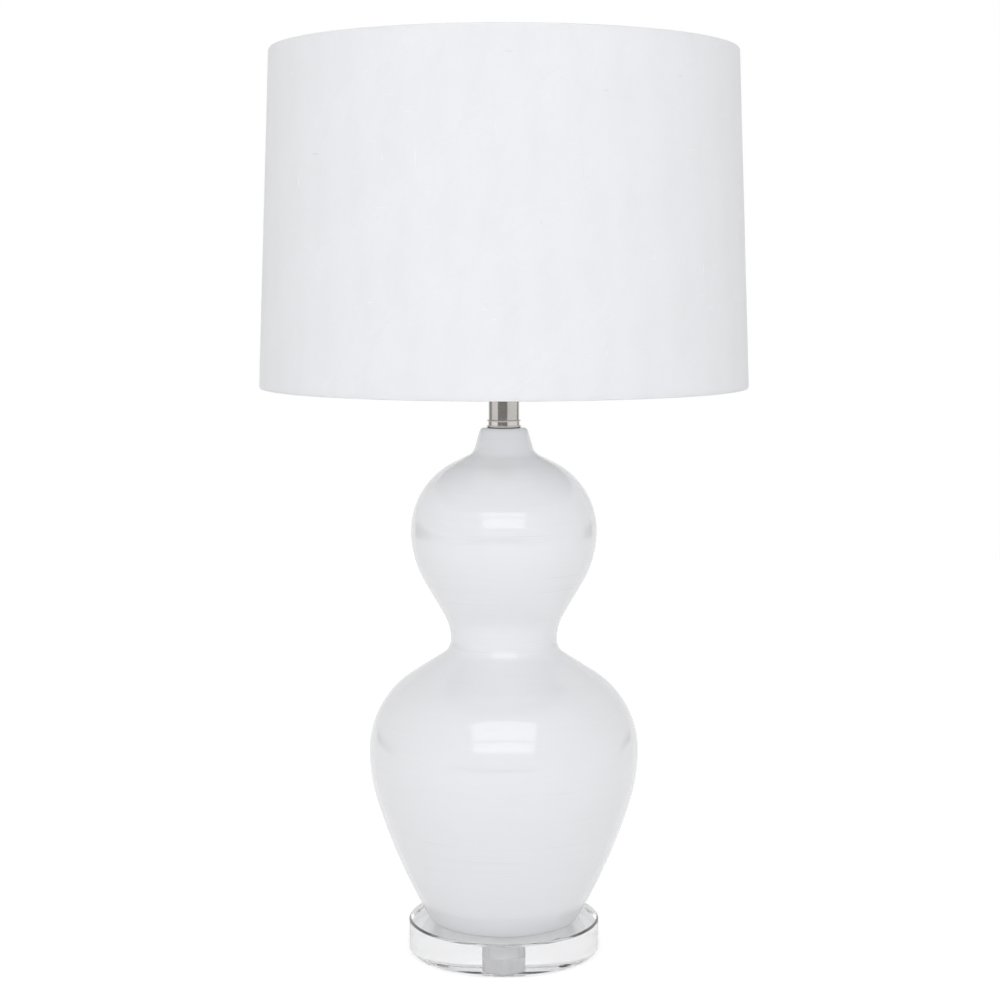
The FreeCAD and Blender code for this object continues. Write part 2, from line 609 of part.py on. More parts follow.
def gourd_outline(sketch, inset, foot_x, foot_y, top):
    """The ceramic's outline from the foot up, moved inwards by a wall's thickness.

    Each wide place and the waist is a point where two arcs meet upright; straight stretches touch
    the arcs between them. The inner outline has no rounded top edge.
    """
    rounded = inset == "0"
    wall = value(inset)
    # the three places where the outline runs upright
    belly = V(value("belly_radius"), value("belly_height"), 0)
    waist = V(value("waist_radius"), value("waist_height"), 0)
    upper = V(value("upper_radius"), value("upper_height"), 0)
    # centres of the arcs
    flank = V(value("flank_centre_x"), value("flank_centre_y"), 0)
    below_belly = belly - V(value("belly_curve"), 0, 0)
    shoulder = belly - V(value("shoulder_curve"), 0, 0)
    below_waist = waist + V(value("waist_lower_curve"), 0, 0)
    above_waist = waist + V(value("waist_upper_curve"), 0, 0)
    below_upper = upper - V(value("upper_lower_curve"), 0, 0)
    above_upper = upper - V(value("upper_shoulder_curve"), 0, 0)
    neck = V(value("neck_root_radius + neck_curve"), value("neck_root_height"), 0)
    lean = math.radians(value("neck_taper"))
    # directions in which the touching lines and arcs meet
    flank_turn = math.atan2(below_belly.y - flank.y, below_belly.x - flank.x)
    foot_turn = math.asin((value(foot_y) - flank.y) / (value("flank_curve") - wall))
    low = common_normal(shoulder, value("shoulder_curve"), below_waist, value("waist_lower_curve"), -1)
    mid = common_normal(below_upper, value("upper_lower_curve"), above_waist, value("waist_upper_curve"), 1)
    high = common_normal(above_upper, value("upper_shoulder_curve"), neck, value("neck_curve"), -1)

    def on(centre, curve, turn, outward):
        """A point of a circle; hills shrink and hollows grow by the wall."""
        radius = value(curve) - outward * wall
        return centre + V(math.cos(turn), math.sin(turn), 0) * radius * outward

    def hill(centre, curve, start, end):
        return arc(centre, value(curve) - wall, start, end)

    def hollow(centre, curve, start, end):
        return arc(centre, value(curve) + wall, start + math.pi, end + math.pi)

    neck_foot = on(neck, "neck_curve", lean, -1)
    along = V(-math.sin(lean), math.cos(lean), 0)
    if rounded:
        square = V(math.cos(lean), math.sin(lean), 0)
        edge = neck_foot - square * value("neck_rounding")
        edge = edge + along * ((value(top) - value("neck_rounding") - edge.y) / along.y)
        neck_end = edge + square * value("neck_rounding")
        top_edge = V(edge.x, value(top), 0)
    else:
        neck_end = neck_foot + along * ((value(top) - neck_foot.y) / along.y)
        top_edge = neck_end
    foot = on(flank, "flank_curve", foot_turn, 1)
    pieces = [
        Part.LineSegment(V(0, foot.y, 0), foot),
        hill(flank, "flank_curve", foot_turn, flank_turn),
        hill(below_belly, "belly_curve", flank_turn, 0),
        hill(shoulder, "shoulder_curve", 0, low),
        Part.LineSegment(on(shoulder, "shoulder_curve", low, 1), on(below_waist, "waist_lower_curve", low, -1)),
        hollow(below_waist, "waist_lower_curve", 0, low),
        hollow(above_waist, "waist_upper_curve", mid, 0),
        Part.LineSegment(on(above_waist, "waist_upper_curve", mid, -1), on(below_upper, "upper_lower_curve", mid, 1)),
        hill(below_upper, "upper_lower_curve", mid, 0),
        hill(above_upper, "upper_shoulder_curve", 0, high),
        Part.LineSegment(on(above_upper, "upper_shoulder_curve", high, 1), on(neck, "neck_curve", high, -1)),
        hollow(neck, "neck_curve", lean, high),
        Part.LineSegment(neck_foot, neck_end),
    ]
    if rounded:
        pieces.append(arc(edge, value("neck_rounding"), lean, math.pi / 2))
    pieces.append(Part.LineSegment(top_edge, V(0, top_edge.y, 0)))
    pieces.append(Part.LineSegment(V(0, top_edge.y, 0), V(0, foot.y, 0)))
    for piece in pieces:
        sketch.addGeometry(piece, False)
    roof = len(pieces) - 2
    axis = len(pieces) - 1
    # touching neighbours: (piece, its end, next piece, its start); hollows are drawn backwards
    touches = [(1, 2, 2, 1), (2, 2, 3, 1), (3, 2, 4, 1), (4, 2, 5, 2), (5, 1, 6, 2), (6, 1, 7, 1),
               (7, 2, 8, 1), (8, 2, 9, 1), (9, 2, 10, 1), (10, 2, 11, 2), (11, 1, 12, 1)]
    if rounded:
        touches += [(12, 2, 13, 1), (13, 2, 14, 1)]
    for touch in touches:
        join(sketch, "Tangent", *touch)
    join(sketch, "Coincident", 0, 2, 1, 1)
    if not rounded:
        join(sketch, "Coincident", 12, 2, roof, 1)
    join(sketch, "Coincident", roof, 2, axis, 1)
    join(sketch, "Coincident", axis, 2, 0, 1)
    hold(sketch, 1, 1, foot_x, foot_y)
    join(sketch, "Horizontal", 0)
    join(sketch, "Horizontal", roof)
    hold(sketch, 0, 1, x="0")
    hold(sketch, axis, 1, x="0", y=top)
    # wide places and waist: where they are and the curves that meet there
    hold(sketch, 2, 2, f"belly_radius - {inset}", "belly_height")
    hold(sketch, 6, 2, f"waist_radius - {inset}", "waist_height")
    hold(sketch, 8, 2, f"upper_radius - {inset}", "upper_height")
    for low_arc, end in ((2, 2), (6, 2), (8, 2)):
        join(sketch, "Horizontal", low_arc, 3, low_arc, end)
    hold(sketch, 11, 3, "neck_root_radius + neck_curve", "neck_root_height")
    curves = [(1, "flank_curve", "-"), (2, "belly_curve", "-"), (3, "shoulder_curve", "-"),
              (5, "waist_lower_curve", "+"), (6, "waist_upper_curve", "+"), (8, "upper_lower_curve", "-"),
              (9, "upper_shoulder_curve", "-"), (11, "neck_curve", "+")]
    for piece, curve, sign in curves:
        limit(sketch, "Radius", piece, text=f"{curve} {sign} {inset}")
    limit(sketch, "Angle", -2, 2, 12, 2, text="neck_taper")
    if rounded:
        limit(sketch, "Radius", 13, text="neck_rounding")


def make_gourd_body():
    body = new_body("gourd_shell", "foot")
    outside = new_sketch(body, "gourd_outside")
    gourd_outline(outside, "0", "foot_radius", "0", "gourd_height")
    revolve(body, outside)
    inside = new_sketch(body, "gourd_inside")
    inner_foot = ("flank_centre_x + sqrt((flank_curve - gourd_wall) ^ 2 "
                  "- (gourd_floor - flank_centre_y) ^ 2)")
    gourd_outline(inside, "gourd_wall", inner_foot, "gourd_floor", "gourd_height - rim_wall")
    revolve(body, inside, "PartDesign::Groove")
    for name, radius, depth, lift in (
            ("foot_recess", "foot_radius - foot_ring_width", "foot_recess_depth", "0"),
            ("floor_hole", "floor_hole_radius", "gourd_floor", "0"),
            ("neck_hole", "neck_hole_radius", "rim_wall", "gourd_height - rim_wall")):
        sketch = new_sketch(body, name, "XY_Plane", lift)
        circle(sketch, radius)
        pocket(body, sketch, depth, backward=True)
    drill = doc.addObject("Part::Cylinder", "inlet_drill")
    drill.setExpression("Radius", bound("bush_radius + bush_gap"))
    drill.setExpression("Height", bound("gourd_wall * 4"))
    point_at_inlet(drill, "-gourd_wall * 2")
    cut = doc.addObject("Part::Cut", "gourd_body")
    cut.Base = body
    cut.Tool = drill
    doc.recompute()
    keep(cut, "gourd_body")


def point_at_inlet(thing, outward):
    """Lays a piece's own Z axis along the wall's outward normal at the cord inlet, at the rear."""
    thing.Placement = FreeCAD.Placement(V(0, 0, 0), FreeCAD.Rotation(V(1, 0, 0), -90))
    thing.setExpression("Placement.Rotation.Angle", bound("-(90 + inlet_tilt) * 1 deg"))
    thing.setExpression("Placement.Base.y", bound(f"inlet_radius + ({outward}) * cos(inlet_tilt)"))
    thing.setExpression("Placement.Base.z", bound(f"foot + inlet_height - ({outward}) * sin(inlet_tilt)"))
    doc.recompute()


def make_cord_inlet_bush():
    tail = "-(gourd_wall + bush_tail)"
    body = turned("cord_inlet_bush", [
        ("bush_bore_radius", tail),
        ("bush_radius", tail),
        ("bush_radius", "bush_flange_lift"),
        ("bush_flange_radius", "bush_flange_lift"),
        ("bush_flange_radius", "bush_flange_lift + bush_flange_thickness"),
        ("bush_bore_radius", "bush_flange_lift + bush_flange_thickness"),
    ])
    point_at_inlet(body, "0")
    ease(body, "Fillet", [("bush_flange_radius", "bush_flange_lift + bush_flange_thickness")],
         "bush_flange_thickness / 2")
    keep(body)


# ---------------------------------------------------------------- bright neck

def make_neck():
    keep(turned("neck_seal", tube("neck_hole_radius", "seal_radius", "seal_thickness"), "gourd_top"))
    band = "ring_flange_height"
    lip = "ring_flange_height + ring_band_height"
    spigot = "tube_bore_radius - spigot_gap"
    ring = turned("check_ring", [
        ("rod_hole_radius", "0"),
        ("ring_flange_radius", "0"),
        ("ring_flange_radius", band),
        ("ring_band_radius", band),
        ("ring_band_radius", lip),
        ("ring_lip_radius", lip),
        ("ring_lip_radius", "check_ring_height"),
        (spigot, "check_ring_height"),
        (spigot, "check_ring_height + spigot_height"),
        ("rod_hole_radius", "check_ring_height + spigot_height"),
    ], "check_ring_bottom")
    ease(ring, "Fillet", [("ring_flange_radius", "0"), ("ring_flange_radius", band)], "ring_flange_height / 3")
    ease(ring, "Fillet", [("ring_lip_radius", lip), ("ring_lip_radius", "check_ring_height")],
         "ring_lip_height / 3")
    keep(ring)
    keep(turned("neck_tube", tube("tube_bore_radius", "neck_tube_radius", "neck_tube_length"), "tube_bottom"))
    keep(turned("neck_washer", tube("rod_hole_radius", "neck_tube_radius", "neck_washer_thickness"),
                "washer_seat"))


# ---------------------------------------------------------------- harp

def make_harp_saddle():
    body = new_body("harp_saddle", "saddle")
    side = new_sketch(body, "saddle_side")
    strip = "saddle_thickness"
    inner = "(tab_half_span - saddle_thickness)"
    rise = "saddle_rise"
    polygon(side, [
        ("-saddle_flat", "0"),
        ("saddle_flat", "0"),
        ("tab_half_span", rise),
        ("tab_half_span", "tab_height"),
        (inner, "tab_height"),
        (inner, f"{rise} + {strip}"),
        ("saddle_flat", strip),
        ("-saddle_flat", strip),
        (f"-{inner}", f"{rise} + {strip}"),
        (f"-{inner}", "tab_height"),
        ("-tab_half_span", "tab_height"),
        ("-tab_half_span", rise),
    ])
    pad(body, side, "saddle_width", middle=True)
    front = new_sketch(body, "tab_sides", "YZ_Plane")
    for hand in ("", "-"):
        polygon(front, [
            (f"{hand}tab_width / 2", "saddle_shoulder_height"),
            (f"{hand}saddle_width", "saddle_shoulder_height"),
            (f"{hand}saddle_width", "tab_height * 2"),
            (f"{hand}tab_width / 2", "tab_height * 2"),
        ])
    pocket(body, front, "tab_half_span * 4", middle=True)
    hole = new_sketch(body, "saddle_hole", "XY_Plane")
    circle(hole, "rod_hole_radius")
    pocket(body, hole, backward=True)
    keep(body)


def make_harp_wire():
    body = new_body("harp_wire", "saddle")
    eye_middle = "harp_height - eye_thickness / 2"
    eye = new_sketch(body, "harp_eye", "XY_Plane", eye_middle)
    circle(eye, "eye_radius")
    pad(body, eye, "eye_thickness", middle=True)
    path = new_sketch(body, "harp_path")
    harp_path(path, eye_middle)
    wire = new_sketch(body, "harp_wire_round", "XY_Plane", "harp_tip_height")
    circle(wire, "harp_wire_radius", "leg_x", "0")
    side = body.newObject("PartDesign::AdditivePipe", "harp_side")
    side.Profile = wire
    side.Spine = path
    doc.recompute()
    both = body.newObject("PartDesign::Mirrored", "harp_sides")
    both.Originals = [side]
    both.MirrorPlane = (path, ["V_Axis"])
    body.Tip = both
    doc.recompute()
    hole = new_sketch(body, "eye_hole", "XY_Plane", "harp_height - eye_thickness * 2")
    circle(hole, "rivet_radius + rivet_play")
    pocket(body, hole, "eye_thickness * 4", backward=True)
    keep(body)


def harp_path(sketch, top):
    """Right half of the harp's line: leg, flare, side, shoulder and the run to the eye."""
    leg = value("leg_x")
    widest_y = f"{top} - harp_crown_rise"
    widest = V(value("harp_half_width"), value(widest_y), 0)
    side_radius = value("harp_side_curve")
    flare_radius = value("harp_flare_curve")
    bend_radius = value("harp_shoulder_curve")
    side = widest - V(side_radius, 0, 0)
    flare_x = leg + flare_radius
    flare_drop = math.sqrt((side_radius + flare_radius) ** 2 - (flare_x - side.x) ** 2)
    flare = V(flare_x, side.y - flare_drop, 0)
    bend_y = value(top) - bend_radius
    bend_x = side.x + math.sqrt((side_radius - bend_radius) ** 2 - (bend_y - side.y) ** 2)
    bend = V(bend_x, bend_y, 0)
    flare_turn = math.atan2(flare.y - side.y, flare.x - side.x)
    bend_turn = math.atan2(bend.y - side.y, bend.x - side.x)
    sketch.addGeometry(Part.LineSegment(V(leg, value("harp_tip_height"), 0), V(leg, flare.y, 0)), False)
    sketch.addGeometry(arc(flare, flare_radius, flare_turn + math.pi, math.pi), False)
    sketch.addGeometry(arc(side, side_radius, flare_turn, bend_turn), False)
    sketch.addGeometry(arc(bend, bend_radius, bend_turn, math.pi / 2), False)
    sketch.addGeometry(Part.LineSegment(V(bend.x, value(top), 0), V(0, value(top), 0)), False)
    for touch in ((0, 2, 1, 2), (1, 1, 2, 1), (2, 2, 3, 1), (3, 2, 4, 1)):
        join(sketch, "Tangent", *touch)
    hold(sketch, 0, 1, "leg_x", "harp_tip_height")
    join(sketch, "Vertical", 0)
    join(sketch, "Horizontal", 4)
    hold(sketch, 4, 2, "0", top)
    hold(sketch, 2, 3, "harp_half_width - harp_side_curve", widest_y)
    limit(sketch, "Radius", 1, text="harp_flare_curve")
    limit(sketch, "Radius", 2, text="harp_side_curve")
    limit(sketch, "Radius", 3, text="harp_shoulder_curve")


def make_harp_sleeves():
    section = tube("sleeve_bore_radius", "sleeve_bore_radius + sleeve_wall", "sleeve_length")
    height = "saddle + saddle_shoulder_height + sleeve_play"
    for node, x in (("left_harp_sleeve", "-sleeve_x"), ("right_harp_sleeve", "sleeve_x")):
        body = turned(node, section, height, x)
        ease(body, "Fillet", [("sleeve_bore_radius + sleeve_wall", "0"),
                              ("sleeve_bore_radius + sleeve_wall", "sleeve_length")], "sleeve_wall / 2")
        keep(body)


def make_swivel_stud():
    under = "-(eye_thickness + rivet_play * 2)"
    head = f"{under} - rivet_head_height"
    body = turned("harp_swivel_stud", [
        ("0", head),
        ("rivet_head_radius", head),
        ("rivet_head_radius", under),
        ("rivet_radius", under),
        ("rivet_radius", "0"),
        ("seat_radius", "0"),
        ("seat_radius", "seat_thickness"),
        ("post_radius", "seat_thickness"),
        ("post_radius", "seat_thickness + post_height"),
        ("0", "seat_thickness + post_height"),
    ], "seat_bottom")
    ease(body, "Chamfer", [("post_radius", "seat_thickness + post_height")], "post_radius / 5")
    keep(body)


def make_finial():
    bore = "post_radius + thread_gap"
    base = turned("finial_base", [
        (bore, "0"),
        ("finial_flange_radius", "0"),
        ("finial_flange_radius", "finial_flange_height"),
        ("finial_neck_radius", "finial_base_height / 2"),
        ("finial_neck_radius", "finial_base_height"),
        (bore, "finial_base_height"),
    ], "finial_bottom")
    ease(base, "Fillet", [("finial_flange_radius", "0")], "finial_flange_height / 4")
    keep(base)
    ball = new_body("finial_knob", "ball_bottom")
    section = new_sketch(ball, "finial_ball_section")
    ball_section(section)
    revolve(ball, section)
    drill = new_sketch(ball, "finial_bore", "XY_Plane")
    circle(drill, bore)
    pocket(ball, drill, "finial_bore_depth", backward=True)
    keep(ball)


def ball_section(sketch):
    """Half of a ball that is cut off flat where it stands on the finial's base."""
    radius = value("finial_ball_radius")
    foot = value("finial_neck_radius")
    middle = math.sqrt(radius ** 2 - foot ** 2)
    sketch.addGeometry(Part.LineSegment(V(0, 0, 0), V(foot, 0, 0)), False)
    sketch.addGeometry(arc(V(0, middle, 0), radius, math.asin(-middle / radius), math.pi / 2), False)
    sketch.addGeometry(Part.LineSegment(V(0, middle + radius, 0), V(0, 0, 0)), False)
    join(sketch, "Coincident", 0, 2, 1, 1)
    join(sketch, "Coincident", 1, 2, 2, 1)
    join(sketch, "Coincident", 2, 2, 0, 1)
    join(sketch, "Coincident", 0, 1, -1, 1)
    hold(sketch, 0, 2, "finial_neck_radius", "0")
    hold(sketch, 1, 3, x="0")
    hold(sketch, 1, 2, x="0")
    limit(sketch, "Radius", 1, text="finial_ball_radius")


# ---------------------------------------------------------------- shade

def shade_wall(node, inside, outside):
    """A tapered tube, given how far its two faces lie inside the shade's outer face."""
    low = "hem_thickness"
    high = "shade_height - hem_thickness"
    low_radius = "shade_bottom_radius - shade_slope * hem_thickness"
    high_radius = "shade_top_radius + shade_slope * hem_thickness"
    return turned(node, [
        (f"{low_radius} - ({inside})", low),
        (f"{low_radius} - ({outside})", low),
        (f"{high_radius} - ({outside})", high),
        (f"{high_radius} - ({inside})", high),
    ], "shade_bottom")


def shade_hem(node, edge_radius, widening, edge, inward):
    """Fabric turned over one edge, round the wire ring and back to the lining.

    widening is how much the shade's radius changes for each millimetre away from the edge.
    """
    def spot(distance_in, away):
        return (f"{edge_radius} + ({widening}) * ({away}) - ({distance_in})", f"{edge} {inward} ({away})")

    inner = "ring_reach + ring_wire_radius + ring_gap"
    turn = "ring_inset * 2"
    return turned(node, [
        spot("0", "0"),
        spot("0", "hem_thickness"),
        spot(inner, "hem_thickness"),
        spot(inner, turn),
        spot("wall_thickness + ring_gap", "hem_depth - hem_thickness"),
        spot("wall_thickness + ring_gap", "hem_depth"),
        spot(f"{inner} + hem_thickness", turn),
        spot(f"{inner} + hem_thickness", "0"),
    ], "shade_bottom")


def make_shade():
    keep(shade_wall("shade_fabric", "fabric_thickness", "0"))
    keep(shade_wall("shade_liner", "wall_thickness", "fabric_thickness"))
    top_hem = shade_hem("shade_top_hem", "shade_top_radius", "shade_slope", "shade_height", "-")
    notch_for_arms(top_hem)
    keep(top_hem)
    keep(shade_hem("shade_bottom_hem", "shade_bottom_radius", "-shade_slope", "0", "+"))
    for node, radius, height in (
            ("shade_top_ring", "top_ring_radius", "shade_top - ring_inset"),
            ("shade_bottom_ring", "bottom_ring_radius", "shade_bottom + ring_inset")):
        ring = doc.addObject("Part::Torus", node)
        ring.setExpression("Radius1", bound(radius))
        ring.setExpression("Radius2", bound("ring_wire_radius"))
        ring.setExpression("Placement.Base.z", bound(height))
        keep(ring, node)


def notch_for_arms(hem):
    """Cuts the turned fabric away where the spider's arms are welded to the ring."""
    notch = new_sketch(hem, "arm_notch_place", "XY_Plane", "shade_height - hem_thickness")
    half_width = "(arm_radius + arm_notch)"
    polygon(notch, [
        ("arm_end_radius - arm_radius * 2", f"-{half_width}"),
        ("top_ring_radius", f"-{half_width}"),
        ("top_ring_radius", half_width),
        ("arm_end_radius - arm_radius * 2", half_width),
    ])
    cut = pocket(hem, notch, "hem_depth")
    repeat_round(hem, cut, notch, "arm_count")


def make_shade_spider():
    """Hub and arms; each arm runs out level, bends up and ends beside the top ring."""
    body = new_body("shade_spider", "hub_bottom")
    hub = new_sketch(body, "spider_hub", "XY_Plane")
    circle(hub, "hub_radius")
    circle(hub, "hub_hole_radius")
    pad(body, hub, "hub_thickness")
    middle = "hub_thickness / 2"
    end_x = "arm_end_radius"
    end_y = "shade_drop - ring_inset"
    path = new_sketch(body, "spider_arm_path")
    start = V(value("arm_start_radius"), value(middle), 0)
    end = V(value(end_x), value(end_y), 0)
    bend = value("arm_bend_radius")
    corner = V(end.x - bend, start.y, 0)
    path.addGeometry(Part.LineSegment(start, corner), False)
    path.addGeometry(arc(corner + V(0, bend, 0), bend, -math.pi / 2, 0), False)
    path.addGeometry(Part.LineSegment(corner + V(bend, bend, 0), end), False)
    join(path, "Tangent", 0, 2, 1, 1)
    join(path, "Tangent", 1, 2, 2, 1)
    join(path, "Horizontal", 0)
    hold(path, 0, 1, "arm_start_radius", middle)
    hold(path, 2, 2, end_x, end_y)
    join(path, "Vertical", 2)
    limit(path, "Radius", 1, text="arm_bend_radius")
    end_round = new_sketch(body, "spider_arm_round", "YZ_Plane", "arm_start_radius")
    circle(end_round, "arm_radius", "0", middle)
    arm = body.newObject("PartDesign::AdditivePipe", "spider_arm")
    arm.Profile = end_round
    arm.Spine = path
    doc.recompute()
    repeat_round(body, arm, hub, "arm_count")
    keep(body)


# ---------------------------------------------------------------- lampholder

def make_socket_cap():
    wall = "shell_wall"
    body = turned("socket_cap", [
        ("rod_radius", "0"),
        ("cap_hub_radius", "0"),
        ("cap_hub_radius", "cap_hub_height"),
        ("cap_radius", "cap_height / 2"),
        ("cap_radius", "cap_height"),
        (f"cap_radius - {wall}", "cap_height"),
        (f"cap_radius - {wall}", f"cap_height / 2 + {wall}"),
        (f"cap_hub_radius - {wall}", f"cap_hub_height + {wall}"),
        ("rod_radius", f"cap_hub_height + {wall}"),
    ], "cap_foot")
    keep(body)
    hole = new_sketch(body, "set_screw_hole", "YZ_Plane")
    circle(hole, "set_screw_radius", "0", "cap_hub_height / 2")
    pocket(body, hole, "cap_hub_radius * 2", backward=True)
    screw = new_body("cap_set_screw", "cap_foot")
    end = new_sketch(screw, "set_screw_round", "YZ_Plane", "rod_radius")
    circle(end, "set_screw_radius", "0", "cap_hub_height / 2")
    pad(screw, end, "set_screw_length")
    keep(screw)


def make_socket_shell():
    wall = "shell_wall"
    step = "shell_skirt_height + skirt_radius - shell_radius"
    lip = "shell_height - shell_bead * 2"
    body = turned("socket_shell", [
        (f"skirt_radius - {wall}", "0"),
        ("skirt_radius", "0"),
        ("skirt_radius", "shell_skirt_height"),
        ("shell_radius", step),
        ("shell_radius", lip),
        ("shell_radius + shell_bead", lip),
        ("shell_radius + shell_bead", "shell_height"),
        (f"shell_radius - {wall}", "shell_height"),
        (f"shell_radius - {wall}", step),
        (f"skirt_radius - {wall}", "shell_skirt_height"),
    ], "shell_foot")
    ease(body, "Fillet", [("shell_radius + shell_bead", lip), ("shell_radius + shell_bead", "shell_height")],
         "shell_bead * 0.6")
    shaft_hole(body, "switch_axis - shell_foot")
    keep(body)


def make_insulating_sleeve():
    foot = "shell_foot + shell_skirt_height"
    length = "shell_height - shell_skirt_height - sleeve_card_margin"
    body = turned("insulating_sleeve", tube("card_radius - sleeve_card_thickness", "card_radius", length), foot)
    shaft_hole(body, f"switch_axis - ({foot})")
    keep(body)


def shaft_hole(body, height):
    """Opening at the front for the switch shaft."""
    sketch = new_sketch(body, body.Name + "_shaft_hole")
    circle(sketch, "shaft_hole_radius", "0", height)
    pocket(body, sketch, "cap_radius * 2", backward=True)


def make_socket_body():
    body = turned("socket_body", disc("socket_body_radius", "socket_body_height"), "body_foot")
    flats = new_sketch(body, "terminal_flats", "XY_Plane")
    for hand in ("", "-"):
        polygon(flats, [
            (f"{hand}terminal_flat", "-socket_body_radius"),
            (f"{hand}socket_body_radius * 2", "-socket_body_radius"),
            (f"{hand}socket_body_radius * 2", "socket_body_radius"),
            (f"{hand}terminal_flat", "socket_body_radius"),
        ])
    pocket(body, flats, "terminal_flat_height", backward=True)
    holes = new_sketch(body, "terminal_holes", "YZ_Plane")
    circle(holes, "terminal_shank_radius", "0", "terminal_flat_height / 2")
    pocket(body, holes, middle=True)
    bore = new_sketch(body, "shaft_bore", "XZ_Plane", "socket_body_radius - shaft_depth")
    circle(bore, "shaft_radius + shaft_play", "0", "switch_axis - body_foot")
    pocket(body, bore, backward=True)
    keep(body)


def make_terminal_screws():
    body = new_body("terminal_screws", "body_foot")
    height = "terminal_flat_height / 2"
    head = new_sketch(body, "terminal_heads", "YZ_Plane", "terminal_flat")
    circle(head, "terminal_head_radius", "0", height)
    pad(body, head, "terminal_head_height")
    shank = new_sketch(body, "terminal_shanks", "YZ_Plane", "terminal_flat")
    circle(shank, "terminal_shank_radius", "0", height)
    pad(body, shank, "terminal_shank_length", backward=True)
    slot = new_sketch(body, "terminal_slots", "YZ_Plane", "terminal_flat + terminal_head_height / 2")
    polygon(slot, [
        ("-terminal_head_radius * 2", f"{height} - terminal_slot / 2"),
        ("terminal_head_radius * 2", f"{height} - terminal_slot / 2"),
        ("terminal_head_radius * 2", f"{height} + terminal_slot / 2"),
        ("-terminal_head_radius * 2", f"{height} + terminal_slot / 2"),
    ])
    pocket(body, slot, "terminal_head_height", backward=True)
    pair = doc.addObject("Part::Mirroring", "left_terminal_screw")
    pair.Source = body
    pair.Normal = V(1, 0, 0)
    both = doc.addObject("Part::Compound", "both_terminal_screws")
    both.Links = [body, pair]
    doc.recompute()
    body.Label = "right_terminal_screw"
    keep(both, "terminal_screws")


def make_socket_screw_shell():
    inner = "bulb_cap_radius + thread_gap"
    wall = "screw_shell_wall"
    keep(turned("socket_screw_shell", [
        ("screw_shell_hole_radius", "0"),
        (f"{inner} + {wall}", "0"),
        (f"{inner} + {wall}", "screw_shell_height"),
        (inner, "screw_shell_height"),
        (inner, wall),
        ("screw_shell_hole_radius", wall),
    ], "body_top"))


def make_centre_contact():
    """Springy strip: its foot lies on the moulded body and its tongue rises to the bulb."""
    body = new_body("centre_contact", "body_top")
    side = new_sketch(body, "contact_side", "XZ_Plane")
    half = "contact_length / 2"
    strip = "contact_thickness"
    polygon(side, [
        (f"-{half}", "0"),
        (f"-{half} + contact_width / 2", "0"),
        ("0", f"contact_rise - {strip}"),
        (half, f"contact_rise - {strip}"),
        (half, "contact_rise"),
        (f"-{strip}", "contact_rise"),
        (f"-{half} + contact_width / 2 - {strip}", strip),
        (f"-{half}", strip),
    ])
    pad(body, side, "contact_width", middle=True)
    keep(body)


# ---------------------------------------------------------------- turn switch

def make_switch():
    shaft = new_body("switch_shaft", "switch_axis")
    end = new_sketch(shaft, "shaft_round", "XZ_Plane", "socket_body_radius - shaft_depth + shaft_play")
    circle(end, "shaft_radius")
    pad(shaft, end, "knob_start + knob_socket_depth - socket_body_radius + shaft_depth - shaft_play")
    keep(shaft)
    knob = new_body("switch_knob", "switch_axis")
    collar = new_sketch(knob, "knob_collar", "XZ_Plane", "knob_start")
    circle(collar, "knob_radius")
    pad(knob, collar, "knob_collar_length")
    grip = new_sketch(knob, "knob_grip", "XZ_Plane", "knob_start + knob_collar_length")
    circle(grip, "knob_grip_radius")
    pad(knob, grip, "knob_length - knob_collar_length")
    flute = new_sketch(knob, "knob_flute", "XZ_Plane", "knob_start + knob_collar_length")
    circle(flute, "knob_flute_radius", "knob_grip_radius", "0")
    cut = pocket(knob, flute, "knob_length", backward=True)
    repeat_round(knob, cut, flute, "knob_flutes")
    socket = new_sketch(knob, "knob_socket", "XZ_Plane", "knob_start")
    circle(socket, "shaft_radius")
    pocket(knob, socket, "knob_socket_depth", backward=True)
    keep(knob)


# ---------------------------------------------------------------- bulb

def make_bulb():
    tip = turned("bulb_contact", disc("bulb_contact_radius", "bulb_contact_height"), "bulb_tip")
    ease(tip, "Fillet", [("bulb_contact_radius", "0")], "bulb_contact_height / 2")
    keep(tip)
    rim = "bulb_cap_radius - bulb_cap_taper"
    keep(turned("bulb_insulator", [
        ("0", "0"),
        ("bulb_contact_radius + bulb_pieces_gap", "0"),
        (rim, "bulb_insulator_height"),
        ("0", "bulb_insulator_height"),
    ], "insulator_foot"))
    cap = turned("bulb_cap", disc("bulb_cap_radius", "bulb_cap_height"), "bulb_cap_foot")
    ease(cap, "Chamfer", [("bulb_cap_radius", "0")], "bulb_cap_taper")
    keep(cap)
    housing = new_body("bulb_housing", "housing_foot")
    section = new_sketch(housing, "bulb_housing_section")
    housing_section(section)
    revolve(housing, section)
    keep(housing)
    globe = new_body("bulb_globe", "housing_top")
    outline = new_sketch(globe, "bulb_globe_section")
    globe_section(outline)
    revolve(globe, outline)
    keep(globe)


